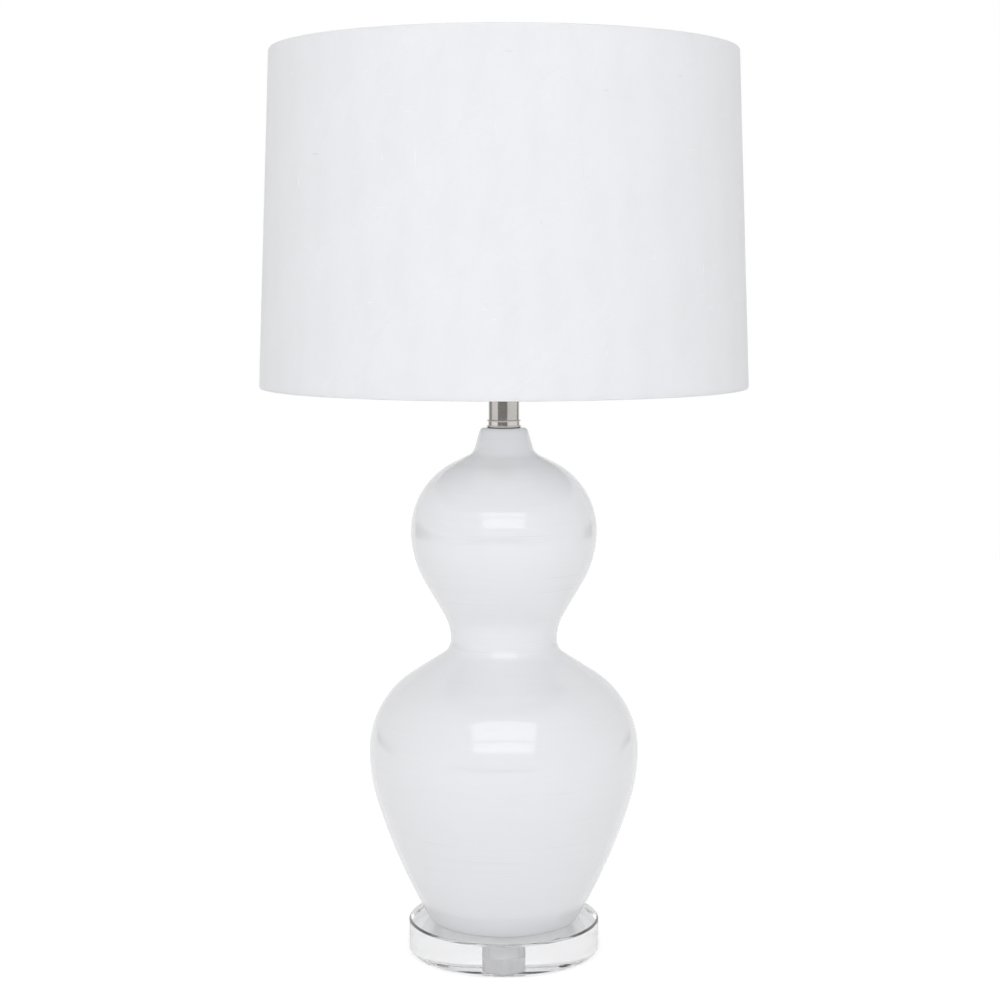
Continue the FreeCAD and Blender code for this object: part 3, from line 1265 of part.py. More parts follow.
def housing_section(sketch):
    """Solid housing that flares in a hollow curve from the screw cap to the globe's rim."""
    foot = V(value("bulb_cap_radius"), 0, 0)
    rim = V(value("bulb_housing_radius"), value("housing_top - housing_foot"), 0)
    half = (rim - foot).Length / 2
    square = V(rim.y - foot.y, foot.x - rim.x, 0).normalize()
    flare = value("bulb_flare_curve")
    centre = (foot + rim) * 0.5 - square * math.sqrt(flare ** 2 - half ** 2)
    start = math.atan2(foot.y - centre.y, foot.x - centre.x)
    end = math.atan2(rim.y - centre.y, rim.x - centre.x)
    sketch.addGeometry(Part.LineSegment(V(0, 0, 0), foot), False)
    sketch.addGeometry(arc(centre, flare, start, end), False)
    sketch.addGeometry(Part.LineSegment(rim, V(0, rim.y, 0)), False)
    sketch.addGeometry(Part.LineSegment(V(0, rim.y, 0), V(0, 0, 0)), False)
    join(sketch, "Coincident", 0, 2, 1, 1)
    join(sketch, "Coincident", 1, 2, 2, 1)
    join(sketch, "Coincident", 2, 2, 3, 1)
    join(sketch, "Coincident", 3, 2, 0, 1)
    join(sketch, "Coincident", 0, 1, -1, 1)
    hold(sketch, 0, 2, "bulb_cap_radius", "0")
    hold(sketch, 1, 2, "bulb_housing_radius", "housing_top - housing_foot")
    hold(sketch, 2, 2, x="0")
    join(sketch, "Horizontal", 2)
    limit(sketch, "Radius", 1, text="bulb_flare_curve")


def globe_section(sketch):
    """Part of a hollow ball, open where it stands on the housing."""
    outer = value("bulb_globe_radius")
    inner = value("bulb_globe_radius - bulb_wall")
    middle = V(0, value("globe_centre - housing_top"), 0)
    outer_turn = -math.asin(middle.y / outer)
    inner_turn = -math.asin(middle.y / inner)
    outer_foot = V(outer * math.cos(outer_turn), 0, 0)
    inner_foot = V(inner * math.cos(inner_turn), 0, 0)
    sketch.addGeometry(arc(middle, outer, outer_turn, math.pi / 2), False)
    sketch.addGeometry(Part.LineSegment(middle + V(0, outer, 0), middle + V(0, inner, 0)), False)
    sketch.addGeometry(arc(middle, inner, inner_turn, math.pi / 2), False)
    sketch.addGeometry(Part.LineSegment(inner_foot, outer_foot), False)
    join(sketch, "Coincident", 0, 2, 1, 1)
    join(sketch, "Coincident", 1, 2, 2, 2)
    join(sketch, "Coincident", 2, 1, 3, 1)
    join(sketch, "Coincident", 3, 2, 0, 1)
    join(sketch, "Coincident", 0, 3, 2, 3)
    hold(sketch, 0, 3, "0", "globe_centre - housing_top")
    limit(sketch, "Radius", 0, text="bulb_globe_radius")
    limit(sketch, "Radius", 2, text="bulb_globe_radius - bulb_wall")
    hold(sketch, 0, 2, x="0")
    hold(sketch, 2, 2, x="0")
    hold(sketch, 3, 1, y="0")
    hold(sketch, 3, 2, y="0")


# ---------------------------------------------------------------- build, check, write

def check_document():
    """Stops if any object failed or any node has no sound solid."""
    faults = [thing.Name for thing in doc.Objects if {"Invalid", "Error"} & set(thing.State)]
    for node in nodes:
        shape = node.Shape
        if shape.isNull() or not shape.isValid() or not shape.Solids:
            faults.append(node.Label)
    if faults:
        raise RuntimeError("failed: " + ", ".join(faults))


def write_nodes():
    os.makedirs("parts", exist_ok=True)
    for node in nodes:
        node.Shape.exportStep(os.path.join("parts", node.Label + ".step"))
    print(len(nodes), "nodes written")


fill_sheet()
fill_levels()
make_base_pads()
make_acrylic_base()
make_base_hardware()
make_threaded_rod()
make_foot_gasket()
make_gourd_body()
make_cord_inlet_bush()
make_neck()
make_harp_saddle()
make_harp_wire()
make_harp_sleeves()
make_swivel_stud()
make_finial()
make_shade()
make_shade_spider()
make_socket_cap()
make_socket_shell()
make_insulating_sleeve()
make_socket_body()
make_terminal_screws()
make_socket_screw_shell()
make_centre_contact()
make_switch()
make_bulb()
doc.recompute()
check_document()
write_nodes()
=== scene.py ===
"""Looks of a double gourd table lamp: glazed body, clear base, bright neck, harp and linen shade.

Lengths in metres, +Z up, the lamp's axis on Z. Outlines are written in millimetres of (radius, height).
"""
import json
import math

import bmesh
import bpy
from mathutils import Matrix, Vector


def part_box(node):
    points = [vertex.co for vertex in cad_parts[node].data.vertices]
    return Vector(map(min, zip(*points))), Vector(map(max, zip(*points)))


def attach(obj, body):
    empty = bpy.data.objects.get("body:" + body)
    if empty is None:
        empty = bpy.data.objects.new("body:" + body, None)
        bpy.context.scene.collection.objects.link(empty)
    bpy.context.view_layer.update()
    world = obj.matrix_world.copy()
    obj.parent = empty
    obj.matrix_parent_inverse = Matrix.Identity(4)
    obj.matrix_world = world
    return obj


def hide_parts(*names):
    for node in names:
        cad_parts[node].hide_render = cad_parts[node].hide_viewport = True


bl_info = {
    "name": "Double gourd lamp",
    "version": (1, 0, 0),
    "blender": (4, 5, 0),
    "location": "View3D > Sidebar > Lamp",
    "description": "Builds the visible pieces of a double gourd table lamp round its packed frame",
    "category": "Object",
}

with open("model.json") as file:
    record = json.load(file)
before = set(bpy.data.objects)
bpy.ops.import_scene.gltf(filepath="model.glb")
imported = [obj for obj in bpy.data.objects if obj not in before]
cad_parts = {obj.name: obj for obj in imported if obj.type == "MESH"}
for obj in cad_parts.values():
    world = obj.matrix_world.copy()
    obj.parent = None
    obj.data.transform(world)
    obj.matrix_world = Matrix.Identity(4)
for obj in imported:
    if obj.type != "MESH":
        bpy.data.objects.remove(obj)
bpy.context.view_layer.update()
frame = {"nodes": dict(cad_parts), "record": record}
MM = 0.001
TURN = 2 * math.pi
SAME_POINT = 1e-7


def span(node):
    """Lowest and highest point of a node of the frame, in millimetres."""
    low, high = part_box(node)
    return low.z / MM, high.z / MM


def reach(node):
    """Greatest distance of a round node from the lamp's axis, in millimetres."""
    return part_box(node)[1].x / MM


# ---------------------------------------------------------------- settings that a user would change

class LampSizes(bpy.types.PropertyGroup):
    """Fine sizes of the lamp's surfaces."""
    ring_spacing: bpy.props.FloatProperty(
        name="Ring spacing", description="Distance between the throwing rings under the glaze",
        default=0.0034, min=0.001, unit="LENGTH")
    ring_relief: bpy.props.FloatProperty(
        name="Ring relief", description="Height of the throwing rings",
        default=0.00006, min=0.0, unit="LENGTH")
    thread_pitch: bpy.props.FloatProperty(
        name="Linen thread", description="Distance between neighbouring threads of the linen",
        default=0.00055, min=0.0001, unit="LENGTH")
    slub_count: bpy.props.IntProperty(
        name="Slubs", description="Thick places in the linen's yarns", default=320, min=0)
    seed: bpy.props.IntProperty(
        name="Seed", description="Seed of everything that is scattered", default=7)


class LampColours(bpy.types.PropertyGroup):
    """Colours of the lamp's finishes."""
    glaze: bpy.props.FloatVectorProperty(
        name="Glaze", description="Cool white glaze", subtype="COLOR", size=3, default=(0.815, 0.817, 0.84))
    linen: bpy.props.FloatVectorProperty(
        name="Linen", description="White linen of the shade", subtype="COLOR", size=3,
        default=(0.825, 0.828, 0.85))
    nickel: bpy.props.FloatVectorProperty(
        name="Nickel", description="Polished nickel plate", subtype="COLOR", size=3,
        default=(0.62, 0.59, 0.565))
    acrylic: bpy.props.FloatVectorProperty(
        name="Acrylic", description="Clear base", subtype="COLOR", size=3, default=(0.94, 0.94, 0.95))
    floor: bpy.props.FloatVectorProperty(
        name="Floor", description="Pale studio floor", subtype="COLOR", size=3, default=(0.9, 0.9, 0.9))


class LampStudio(bpy.types.PropertyGroup):
    """Camera and light."""
    camera_distance: bpy.props.FloatProperty(
        name="Distance", description="Camera's distance from the lamp's axis", default=1.562, unit="LENGTH")
    camera_height: bpy.props.FloatProperty(
        name="Height", description="Camera above the floor", default=0.5225, unit="LENGTH")
    camera_side: bpy.props.FloatProperty(
        name="Side", description="Camera left of the lamp's axis", default=0.003, unit="LENGTH")
    camera_pitch: bpy.props.FloatProperty(
        name="Pitch", description="Camera tilted down", default=math.radians(6.2), subtype="ANGLE")
    lens: bpy.props.FloatProperty(name="Lens", description="Focal length in millimetres", default=73.8)
    ambient: bpy.props.FloatProperty(
        name="Ambient", description="Strength of the room's light", default=0.64)
    key: bpy.props.FloatProperty(name="Key", description="Power of the key light", default=25.0)
    side: bpy.props.FloatProperty(name="Sides", description="Power of the side fills", default=5.0)
    glow: bpy.props.FloatProperty(
        name="Glow", description="Power of the soft light under the shade", default=0.04)
    highlight: bpy.props.FloatProperty(
        name="Highlight", description="Power of the softbox that glossy surfaces show", default=11.0)
    floor_glow: bpy.props.FloatProperty(
        name="Floor glow", description="How much whiter than lit the camera sees the floor", default=0.45)
    floor_through: bpy.props.FloatProperty(
        name="Floor through base", description="Brightness of the floor seen through the clear base",
        default=0.7)


# ---------------------------------------------------------------- nodes of materials and geometry

def add_node(tree, kind, inputs=None, **settings):
    """Adds a node; inputs are values or other nodes' outputs, by name or number."""
    node = tree.nodes.new(kind)
    for name, setting in settings.items():
        setattr(node, name, setting)
    for key, given in (inputs or {}).items():
        if isinstance(given, bpy.types.NodeSocket):
            tree.links.new(given, node.inputs[key])
        else:
            node.inputs[key].default_value = given
    return node


def outcome(tree, kind, inputs=None, **settings):
    """The first output of a new node."""
    return add_node(tree, kind, inputs, **settings).outputs[0]


def calculate(tree, operation, first, second=0.0, third=0.0):
    """A Math node's result."""
    return outcome(tree, "ShaderNodeMath", {0: first, 1: second, 2: third}, operation=operation)


def product(tree, first, *others):
    """Values multiplied one after the other."""
    for other in others:
        first = calculate(tree, "MULTIPLY", first, other)
    return first


def total(tree, first, *others):
    """Values added one after the other."""
    for other in others:
        first = calculate(tree, "ADD", first, other)
    return first


def parted(tree, place):
    """X, Y and Z of a place."""
    return list(add_node(tree, "ShaderNodeSeparateXYZ", {0: place}).outputs)


def combine(tree, x, y, z):
    return outcome(tree, "ShaderNodeCombineXYZ", {0: x, 1: y, 2: z})


def polar(tree, radius, angle):
    """X and Y of a place at a distance and an angle from the axis."""
    return [product(tree, radius, calculate(tree, kind, angle)) for kind in ("COSINE", "SINE")]


def mapped(tree, given, from_low, from_high, to_low=0.0, to_high=1.0):
    """A value carried from one range to another, and kept inside it."""
    return outcome(tree, "ShaderNodeMapRange", {
        "Value": given, "From Min": from_low, "From Max": from_high, "To Min": to_low, "To Max": to_high})


def stretched(tree, coordinates, x, y, z):
    """Coordinates multiplied along each axis."""
    return outcome(tree, "ShaderNodeMapping", {"Vector": coordinates, "Scale": (x, y, z)})


def noise(tree, coordinates, scale=1.0, detail=2.0, roughness=0.5):
    node = add_node(tree, "ShaderNodeTexNoise", {
        "Vector": coordinates, "Scale": scale, "Detail": detail, "Roughness": roughness})
    return node.outputs["Fac"]


def solid(colour):
    """A colour with full alpha; a single number is a grey."""
    return (*colour, 1.0) if isinstance(colour, (tuple, list)) else (colour, colour, colour, 1.0)


def blended(tree, share, first, second):
    """A colour between two others, each given outright or by another node."""
    pair = [given if isinstance(given, bpy.types.NodeSocket) else solid(given) for given in (first, second)]
    return add_node(tree, "ShaderNodeMix", {0: share, 6: pair[0], 7: pair[1]}, data_type="RGBA").outputs[2]


def shaded(colour, share):
    """A colour made lighter or darker."""
    return tuple(min(1.0, part * share) for part in colour)


class Finish:
    """A material with one Principled shader, and what its pattern is read from."""

    def __init__(self, name, colour, roughness, metallic=0.0, **extra):
        self.material = bpy.data.materials.new(name)
        self.material.use_nodes = True
        self.tree = self.material.node_tree
        self.shader = self.tree.nodes["Principled BSDF"]
        self.set("Base Color", solid(colour))
        self.set("Roughness", roughness)
        self.set("Metallic", metallic)
        for key, given in extra.items():
            self.set(key.replace("_", " ").title().replace("Ior", "IOR"), given)
        place = add_node(self.tree, "ShaderNodeTexCoord")
        self.place = place.outputs["Object"]
        self.cloth = place.outputs["UV"]

    def set(self, key, given):
        self.shader.inputs[key].default_value = given

    def feed(self, key, output):
        self.tree.links.new(output, self.shader.inputs[key])

    def tint(self, share, dark, light):
        self.feed("Base Color", blended(self.tree, share, dark, light))

    def bump(self, height, strength, distance):
        """Relief; the distance is in millimetres."""
        self.feed("Normal", outcome(self.tree, "ShaderNodeBump", {
            "Height": height, "Strength": strength, "Distance": distance * MM}))

    def lathe_lines(self, spacing):
        """Noise that runs in fine rings about the lamp's axis."""
        wide = 1 / (spacing * 40)
        return noise(self.tree, stretched(self.tree, self.place, wide, wide, 1 / spacing), 1.0, 3.0, 0.6)


# ---------------------------------------------------------------- materials

def acrylic_finish(colour):
    """Polished clear acrylic; the drilled hole and recess are whitish, with the cutter's fine rings."""
    finish = Finish("clear acrylic", colour, 0.0, transmission_weight=0.9, ior=1.49)
    tree = finish.tree
    recess_edge, cutter_step = 11.4 * MM, 0.35 * MM
    squares = [calculate(tree, "POWER", part, 2.0) for part in parted(tree, finish.place)[:2]]
    radius = calculate(tree, "SQRT", total(tree, *squares))
    drilled = calculate(tree, "LESS_THAN", radius, recess_edge)
    haze = noise(tree, finish.place, 260.0, 3.0)
    polished = mapped(tree, haze, 0.45, 0.8, 0.0, 0.012)
    finish.feed("Roughness", calculate(tree, "MULTIPLY_ADD", drilled, 0.5, polished))
    finish.tint(drilled, colour, 1.0)
    finish.feed("Transmission Weight", calculate(tree, "MULTIPLY_ADD", drilled, -0.8, 0.92))
    rings = calculate(tree, "SINE", product(tree, radius, TURN / cutter_step))
    finish.bump(product(tree, rings, drilled), 0.4, 0.02)
    return finish.material


def glaze_finish(colour, spacing):
    """Thick white glaze over throwing rings, with thin broken lines where it parted on a ring's crest."""
    finish = Finish("white glaze", colour, 0.06, ior=1.5, coat_weight=0.2, coat_roughness=0.03)
    tree = finish.tree
    rings = finish.lathe_lines(spacing * 0.6)
    broad = noise(tree, stretched(tree, finish.place, 3.0, 3.0, 9.0))
    shade = calculate(tree, "MULTIPLY_ADD", broad, 0.5, product(tree, rings, 0.5))
    smooth = blended(tree, shade, shaded(colour, 0.97), shaded(colour, 1.03))
    streaks = noise(tree, stretched(tree, finish.place, 3.5, 3.5, 620.0), 1.0, 1.0)
    places = noise(tree, stretched(tree, finish.place, 14.0, 14.0, 20.0), 1.0, 1.0)
    line = product(tree, mapped(tree, streaks, 0.63, 0.75), mapped(tree, places, 0.5, 0.64))
    finish.tint(line, smooth, shaded(colour, 0.93))
    waves = calculate(tree, "MULTIPLY_ADD", noise(tree, finish.place, 70.0), 0.3, rings)
    waves = calculate(tree, "MULTIPLY_ADD", line, -0.4, waves)
    finish.bump(waves, 0.12, 0.09)
    finish.feed("Roughness", mapped(tree, noise(tree, finish.place, 420.0, 4.0), 0.35, 0.75, 0.045, 0.085))
    return finish.material


def grained_finish(name, colour, roughness, grain, relief, tones=None, gloss=None, lines=0.0,
                   lined_gloss=None, **extra):
    """A plain surface with the fine irregularity of its kind.

    grain is (scale, detail) of a cloudy pattern, which runs between two tones and sets the gloss. lines is
    the spacing in millimetres of turning or polishing marks, which take over the relief and lined_gloss.
    """
    finish = Finish(name, colour, roughness, **extra)
    cloud = noise(finish.tree, finish.place, *grain) if grain else None
    marks = finish.lathe_lines(lines * MM) if lines else cloud
    if tones:
        finish.tint(cloud, *tones)
    if gloss:
        finish.feed("Roughness", mapped(finish.tree, cloud, 0.3, 0.7, *gloss))
    if lined_gloss:
        finish.feed("Roughness", mapped(finish.tree, marks, *lined_gloss))
    finish.bump(marks, *relief)
    return finish.material


def soft_clear_finish(name, colour, clearness):
    """Soft plastic of pads and gasket."""
    return grained_finish(name, colour, 0.3, (900.0, 3.0), (0.3, 0.03), gloss=(0.22, 0.4),
                          transmission_weight=clearness, ior=1.42)


def moulding_finish(name, colour, roughness):
    """Moulded plastic with the faint grain of its mould."""
    return grained_finish(name, colour, roughness, (1300.0, 3.0), (0.2, 0.02),
                          (shaded(colour, 0.94), shaded(colour, 1.04)), (roughness * 0.8, roughness * 1.2))


def nickel_finish(colour):
    """Polished nickel with faint polishing lines and a slightly smoky patchiness."""
    return grained_finish("polished nickel", colour, 0.13, (120.0, 3.0), (0.12, 0.01),
                          (shaded(colour, 0.93), shaded(colour, 1.05)), lines=0.12,
                          lined_gloss=(0.3, 0.75, 0.09, 0.19), metallic=1.0)


def card_finish():
    """Brown fibre card round the socket; its fibres lie round the lampholder."""
    finish = Finish("fibre card", (0.42, 0.3, 0.17), 0.8)
    fibre = noise(finish.tree, stretched(finish.tree, finish.place, 500.0, 500.0, 1700.0), 1.0, 4.0)
    finish.tint(fibre, (0.33, 0.22, 0.12), (0.5, 0.37, 0.22))
    finish.bump(fibre, 0.4, 0.05)
    return finish.material


def lining_finish():
    """Smooth white lining; the cloth's weave telegraphs through it very faintly."""
    finish = Finish("white lining", (0.84, 0.845, 0.85), 0.5)
    finish.tint(noise(finish.tree, finish.place, 22.0, 3.0), (0.81, 0.815, 0.82), (0.86, 0.865, 0.87))
    finish.bump(noise(finish.tree, finish.place, 700.0), 0.15, 0.04)
    return finish.material


def weave_height(finish, pitch):
    """Plain weave over the cloth's own metres: warp and weft threads cross over and under."""
    tree = finish.tree
    x, y = parted(tree, finish.cloth)[:2]
    drift = noise(tree, finish.cloth, 9.0)
    threads = [calculate(tree, "MULTIPLY_ADD", along, math.pi / pitch, product(tree, drift, sway))
               for along, sway in ((x, 4.0), (y, 3.0))]
    crests = [calculate(tree, "ABSOLUTE", calculate(tree, "SINE", thread)) for thread in threads]
    over = product(tree, *[calculate(tree, "COSINE", thread) for thread in threads])
    lift = mapped(tree, over, -0.4, 0.4)
    sunk = calculate(tree, "SUBTRACT", 1.0, lift)
    return total(tree, product(tree, crests[0], lift), product(tree, crests[1], sunk))


def linen_finish(colour, pitch):
    """White linen: plain weave, threads of uneven thickness both ways, faint cloudiness, soft sheen; the
    weave's hollows are tinted darker as painted shade.
    """
    finish = Finish("white linen", colour, 0.86, sheen_weight=0.25, sheen_roughness=0.5,
                    specular_ior_level=0.3)
    tree = finish.tree
    weave = weave_height(finish, pitch)
    across = 1 / (pitch * 2.2)
    threads = total(tree, *[noise(tree, stretched(tree, finish.cloth, x, y, 1.0), 1.0, 3.0, 0.65)
                            for x, y in ((28.0, across), (across, 20.0))])
    cloudy = noise(tree, finish.cloth, 7.0)
    height = calculate(tree, "MULTIPLY_ADD", threads, 1.1, weave)
    share = calculate(tree, "MULTIPLY_ADD", threads, 0.42, 0.05)
    # the weave's height darkens the hollows between threads: painted shade; the uneven threads and the
    # cloudiness are the cloth's own tone
    share = calculate(tree, "MULTIPLY_ADD", weave, 0.22, share)
    share = calculate(tree, "MULTIPLY_ADD", cloudy, 0.1, share)
    finish.tint(share, shaded(colour, 0.94), shaded(colour, 1.03))
    finish.bump(height, 0.5, 0.07)
    finish.feed("Roughness", mapped(tree, threads, 0.6, 1.4, 0.8, 0.92))
    return finish.material


def slub_finish(colour):
    """Thick places in the yarn, painted brighter than the cloth as a painted highlight where they catch the
    light, and in patches a little darker as painted shade.
    """
    finish = Finish("slub yarn", shaded(colour, 1.1), 0.7, sheen_weight=0.3, sheen_roughness=0.4)
    # noise patches choose between the painted shade tone and the painted highlight tone
    lit_or_shaded_patch = mapped(finish.tree, noise(finish.tree, finish.place, 60.0, 1.0), 0.36, 0.46)
    finish.tint(lit_or_shaded_patch, shaded(colour, 0.93), shaded(colour, 1.09))
    finish.bump(noise(finish.tree, finish.place, 2600.0), 0.4, 0.05)
    return finish.material


MATERIALS = {}


def paint_all(colours, sizes):
    """Makes every finish and gives one to each node of the frame by its material slot."""
    MATERIALS.update({
        "clear_acrylic": acrylic_finish(tuple(colours.acrylic)),
        "clear_rubber": soft_clear_finish("clear soft plastic", (0.9, 0.91, 0.92), 0.75),
        # a darker grey copy of the clear soft plastic: painted shade for the contact shadow where the
        # ceramic's foot meets the base
        "contact_shadow_rubber": soft_clear_finish("contact shadow soft plastic", (0.45, 0.45, 0.46), 0.5),
        "zinc_steel": grained_finish(
            "zinc plate", (0.72, 0.73, 0.75), 0.34, (340.0, 4.0), (0.25, 0.02),
            ((0.62, 0.63, 0.66), (0.8, 0.8, 0.81)), (0.24, 0.42), 0.2, metallic=1.0),
        "white_glaze": glaze_finish(tuple(colours.glaze), sizes.ring_spacing),
        "bare_clay": grained_finish(
            "bare clay", (0.78, 0.75, 0.7), 0.85, (800.0, 5.0), (0.5, 0.1),
            ((0.66, 0.63, 0.58), (0.84, 0.82, 0.77))),
        "black_rubber": grained_finish(
            "black rubber", (0.025, 0.025, 0.027), 0.62, (1500.0, 3.0), (0.3, 0.03), gloss=(0.5, 0.75)),
        "polished_nickel": nickel_finish(tuple(colours.nickel)),
        "card": card_finish(),
        "black_moulding": moulding_finish("black moulding", (0.022, 0.022, 0.024), 0.36),
        "plain_brass": grained_finish(
            "plain brass", (0.72, 0.55, 0.27), 0.26, (260.0, 4.0), (0.2, 0.02),
            ((0.6, 0.43, 0.19), (0.78, 0.62, 0.33)), (0.18, 0.36), 0.15, metallic=1.0),
        "bulb_metal": grained_finish(
            "bulb metal", (0.76, 0.76, 0.77), 0.24, None, (0.2, 0.015), lines=0.1,
            lined_gloss=(0.3, 0.7, 0.18, 0.34), metallic=1.0),
        "black_glass": moulding_finish("black glass", (0.015, 0.015, 0.025), 0.12),
        "white_plastic": moulding_finish("white moulding", (0.82, 0.82, 0.81), 0.34),
        "frosted_diffuser": grained_finish(
            "frosted diffuser", (0.88, 0.88, 0.87), 0.42, (1800.0, 4.0), (0.15, 0.02), gloss=(0.34, 0.5),
            subsurface_weight=0.35, subsurface_scale=0.004),
        "white_wire": grained_finish(
            "white enamel", (0.83, 0.83, 0.83), 0.3, (520.0, 2.0), (0.25, 0.06), (0.79, 0.86),
            coat_weight=0.3, coat_roughness=0.12),
        "white_lining": lining_finish(),
        "white_linen": linen_finish(tuple(colours.linen), sizes.thread_pitch),
        "slub_yarn": slub_finish(tuple(colours.linen)),
    })
    for row in frame["record"]["subparts"]:
        mesh = frame["nodes"][row["node"]].data
        mesh.materials.clear()
        mesh.materials.append(MATERIALS[row["material_slot"]])


# ---------------------------------------------------------------- geometry node trees

def new_tree(name, numbers, lengths=()):
    """A geometry tree with whole numbers, lengths and a material as named inputs."""
    tree = bpy.data.node_groups.new(name, "GeometryNodeTree")
    tree.interface.new_socket(name="Geometry", in_out="OUTPUT", socket_type="NodeSocketGeometry")
    kinds = {"Geometry": "Geometry", "Material": "Material"}
    kinds.update({label: "Int" for label in numbers})
    kinds.update({label: "Float" for label in lengths})
    for label, kind in kinds.items():
        tree.interface.new_socket(name=label, in_out="INPUT", socket_type="NodeSocket" + kind)
    return tree, add_node(tree, "NodeGroupInput").outputs


def end_tree(tree, geometry, material):
    """Every tree ends the same way: real geometry with its material."""
    real = outcome(tree, "GeometryNodeRealizeInstances", {0: geometry})
    painted = outcome(tree, "GeometryNodeSetMaterial", {"Geometry": real, "Material": material})
    add_node(tree, "NodeGroupOutput", {0: painted})
    return tree


def keep_result(thing):
    """Makes what a piece's modifiers give its plain mesh."""
    view = bpy.context.evaluated_depsgraph_get()
    made = bpy.data.meshes.new_from_object(thing.evaluated_get(view), depsgraph=view)
    thing.modifiers.clear()
    thing.data = made
    return thing


def run_tree(tree, thing, material, inputs):
    """Runs a tree on an object and keeps the result."""
    modifier = thing.modifiers.new(tree.name, "NODES")
    modifier.node_group = tree
    sockets = {item.name: item.identifier for item in tree.interface.items_tree if item.in_out == "INPUT"}
    for label, given in {**inputs, "Material": MATERIALS[material]}.items():
        modifier[sockets[label]] = given
    mesh = keep_result(thing).data
    mesh.materials.clear()
    mesh.materials.append(MATERIALS[material])
    mesh.polygons.foreach_set("material_index", [0] * len(mesh.polygons))
    return thing


def share_of_turn(tree, part, whole):
    """The angle at a part of a whole turn."""
    return product(tree, calculate(tree, "DIVIDE", part, whole), TURN)


def sampled(tree, geometry, name, row, kind="FLOAT"):
    """A named value of the outline's point that a grid row stands for."""
    value = outcome(tree, "GeometryNodeInputNamedAttribute", {"Name": name}, data_type=kind)
    return outcome(tree, "GeometryNodeSampleIndex", {
        "Geometry": geometry, "Value": value, "Index": row}, data_type=kind, domain="POINT")


def unrolled(tree, geometry, place):
    """Stores a place on the flat cloth as the UV map."""
    return outcome(tree, "GeometryNodeStoreNamedAttribute", {
        "Geometry": geometry, "Name": "UVMap", "Value": place}, data_type="FLOAT2", domain="CORNER")


def moved(tree, geometry, place):
    return outcome(tree, "GeometryNodeSetPosition", {"Geometry": geometry, "Position": place})


def swept(tree, curve, sides, radius, swell=1.0):
    """Sweeps a circle along a curve, with closed ends; swell makes it thicker or thinner on its way."""
    ring = outcome(tree, "GeometryNodeCurvePrimitiveCircle", {"Resolution": sides, "Radius": radius})
    return outcome(tree, "GeometryNodeCurveToMesh", {
        "Curve": curve, "Profile Curve": ring, "Scale": swell, "Fill Caps": True})


def turned_tree():
    """Turns an outline of ordered points about Z, with a thread, flutes and throwing rings on it.

    The outline's points carry how much of each they take and which way is outward.
    """
    tree, given = new_tree("Turned piece", ("Segments", "Flutes", "Seed"), (
        "Thread Pitch", "Thread Depth", "Flute Depth", "Ring Spacing", "Ring Relief"))
    outline, segments = given["Geometry"], given["Segments"]
    rows = add_node(tree, "GeometryNodeAttributeDomainSize", {0: outline}).outputs["Point Count"]
    columns = total(tree, segments, 1.0)
    grid = outcome(tree, "GeometryNodeMeshGrid", {"Vertices X": columns, "Vertices Y": rows})
    index = outcome(tree, "GeometryNodeInputIndex")
    row = calculate(tree, "MODULO", index, rows)
    column = calculate(tree, "FLOOR", calculate(tree, "DIVIDE", total(tree, index, 0.5), rows))
    angle = share_of_turn(tree, column, segments)
    spot = sampled(tree, outline, "spot", row, "FLOAT_VECTOR")
    outward = sampled(tree, outline, "outward", row, "FLOAT_VECTOR")
    height = parted(tree, spot)[2]
    # thread: a triangular wave that climbs one pitch in each turn
    climb = calculate(tree, "SUBTRACT", calculate(tree, "DIVIDE", height, given["Thread Pitch"]),
                      calculate(tree, "DIVIDE", angle, TURN))
    wave = calculate(tree, "SUBTRACT", calculate(tree, "PINGPONG", climb, 0.5), 0.5)
    thread = product(tree, wave, 2.0, given["Thread Depth"], sampled(tree, outline, "thread", row))
    # flutes: hollows repeated round the piece
    turnings = calculate(tree, "COSINE", product(tree, angle, given["Flutes"]))
    hollow = calculate(tree, "SUBTRACT", turnings, 1.0)
    flute = product(tree, hollow, given["Flute Depth"], sampled(tree, outline, "flute", row))
    # throwing rings: noise that changes fast with height and slowly round the piece
    slow = 0.35
    climbed = total(tree, calculate(tree, "DIVIDE", height, given["Ring Spacing"]), given["Seed"])
    place = combine(tree, *polar(tree, slow, angle), climbed)
    ripple = calculate(tree, "SUBTRACT", noise(tree, place, 1.0, 3.0, 0.55), 0.5)
    rings = product(tree, ripple, 2.0, given["Ring Relief"], sampled(tree, outline, "rings", row))
    shift = total(tree, thread, flute, rings)
    relief = outcome(tree, "ShaderNodeVectorMath", {0: outward, 3: shift}, operation="SCALE")
    flat = outcome(tree, "ShaderNodeVectorMath", {0: spot, 1: relief}, operation="ADD")
    swung = outcome(tree, "ShaderNodeVectorRotate", {"Vector": flat, "Angle": angle}, rotation_type="Z_AXIS")
    across = calculate(tree, "DIVIDE", column, segments)
    cloth = combine(tree, across, sampled(tree, outline, "along", row), 0.0)
    closed = outcome(tree, "GeometryNodeMergeByDistance", {
        "Geometry": unrolled(tree, moved(tree, grid, swung), cloth), "Distance": SAME_POINT})
    return end_tree(tree, closed, given["Material"])


def wire_tree():
    """Sweeps a round section along a line of points."""
    tree, given = new_tree("Round wire", ("Sides",), ("Radius",))
    line = outcome(tree, "GeometryNodeMeshToCurve", {0: given["Geometry"]})
    return end_tree(tree, swept(tree, line, given["Sides"], given["Radius"]), given["Material"])


def ring_tree():
    """Repeats a shape round the lamp's axis."""
    tree, given = new_tree("Repeated round", ("Count",))
    spots = outcome(tree, "GeometryNodeMeshLine", {"Count": given["Count"], "Offset": (0.0, 0.0, 0.0)})
    index = outcome(tree, "GeometryNodeInputIndex")
    angle = share_of_turn(tree, index, given["Count"])
    placed = outcome(tree, "GeometryNodeInstanceOnPoints", {
        "Points": spots, "Instance": given["Geometry"], "Rotation": combine(tree, 0.0, 0.0, angle)})
    return end_tree(tree, placed, given["Material"])


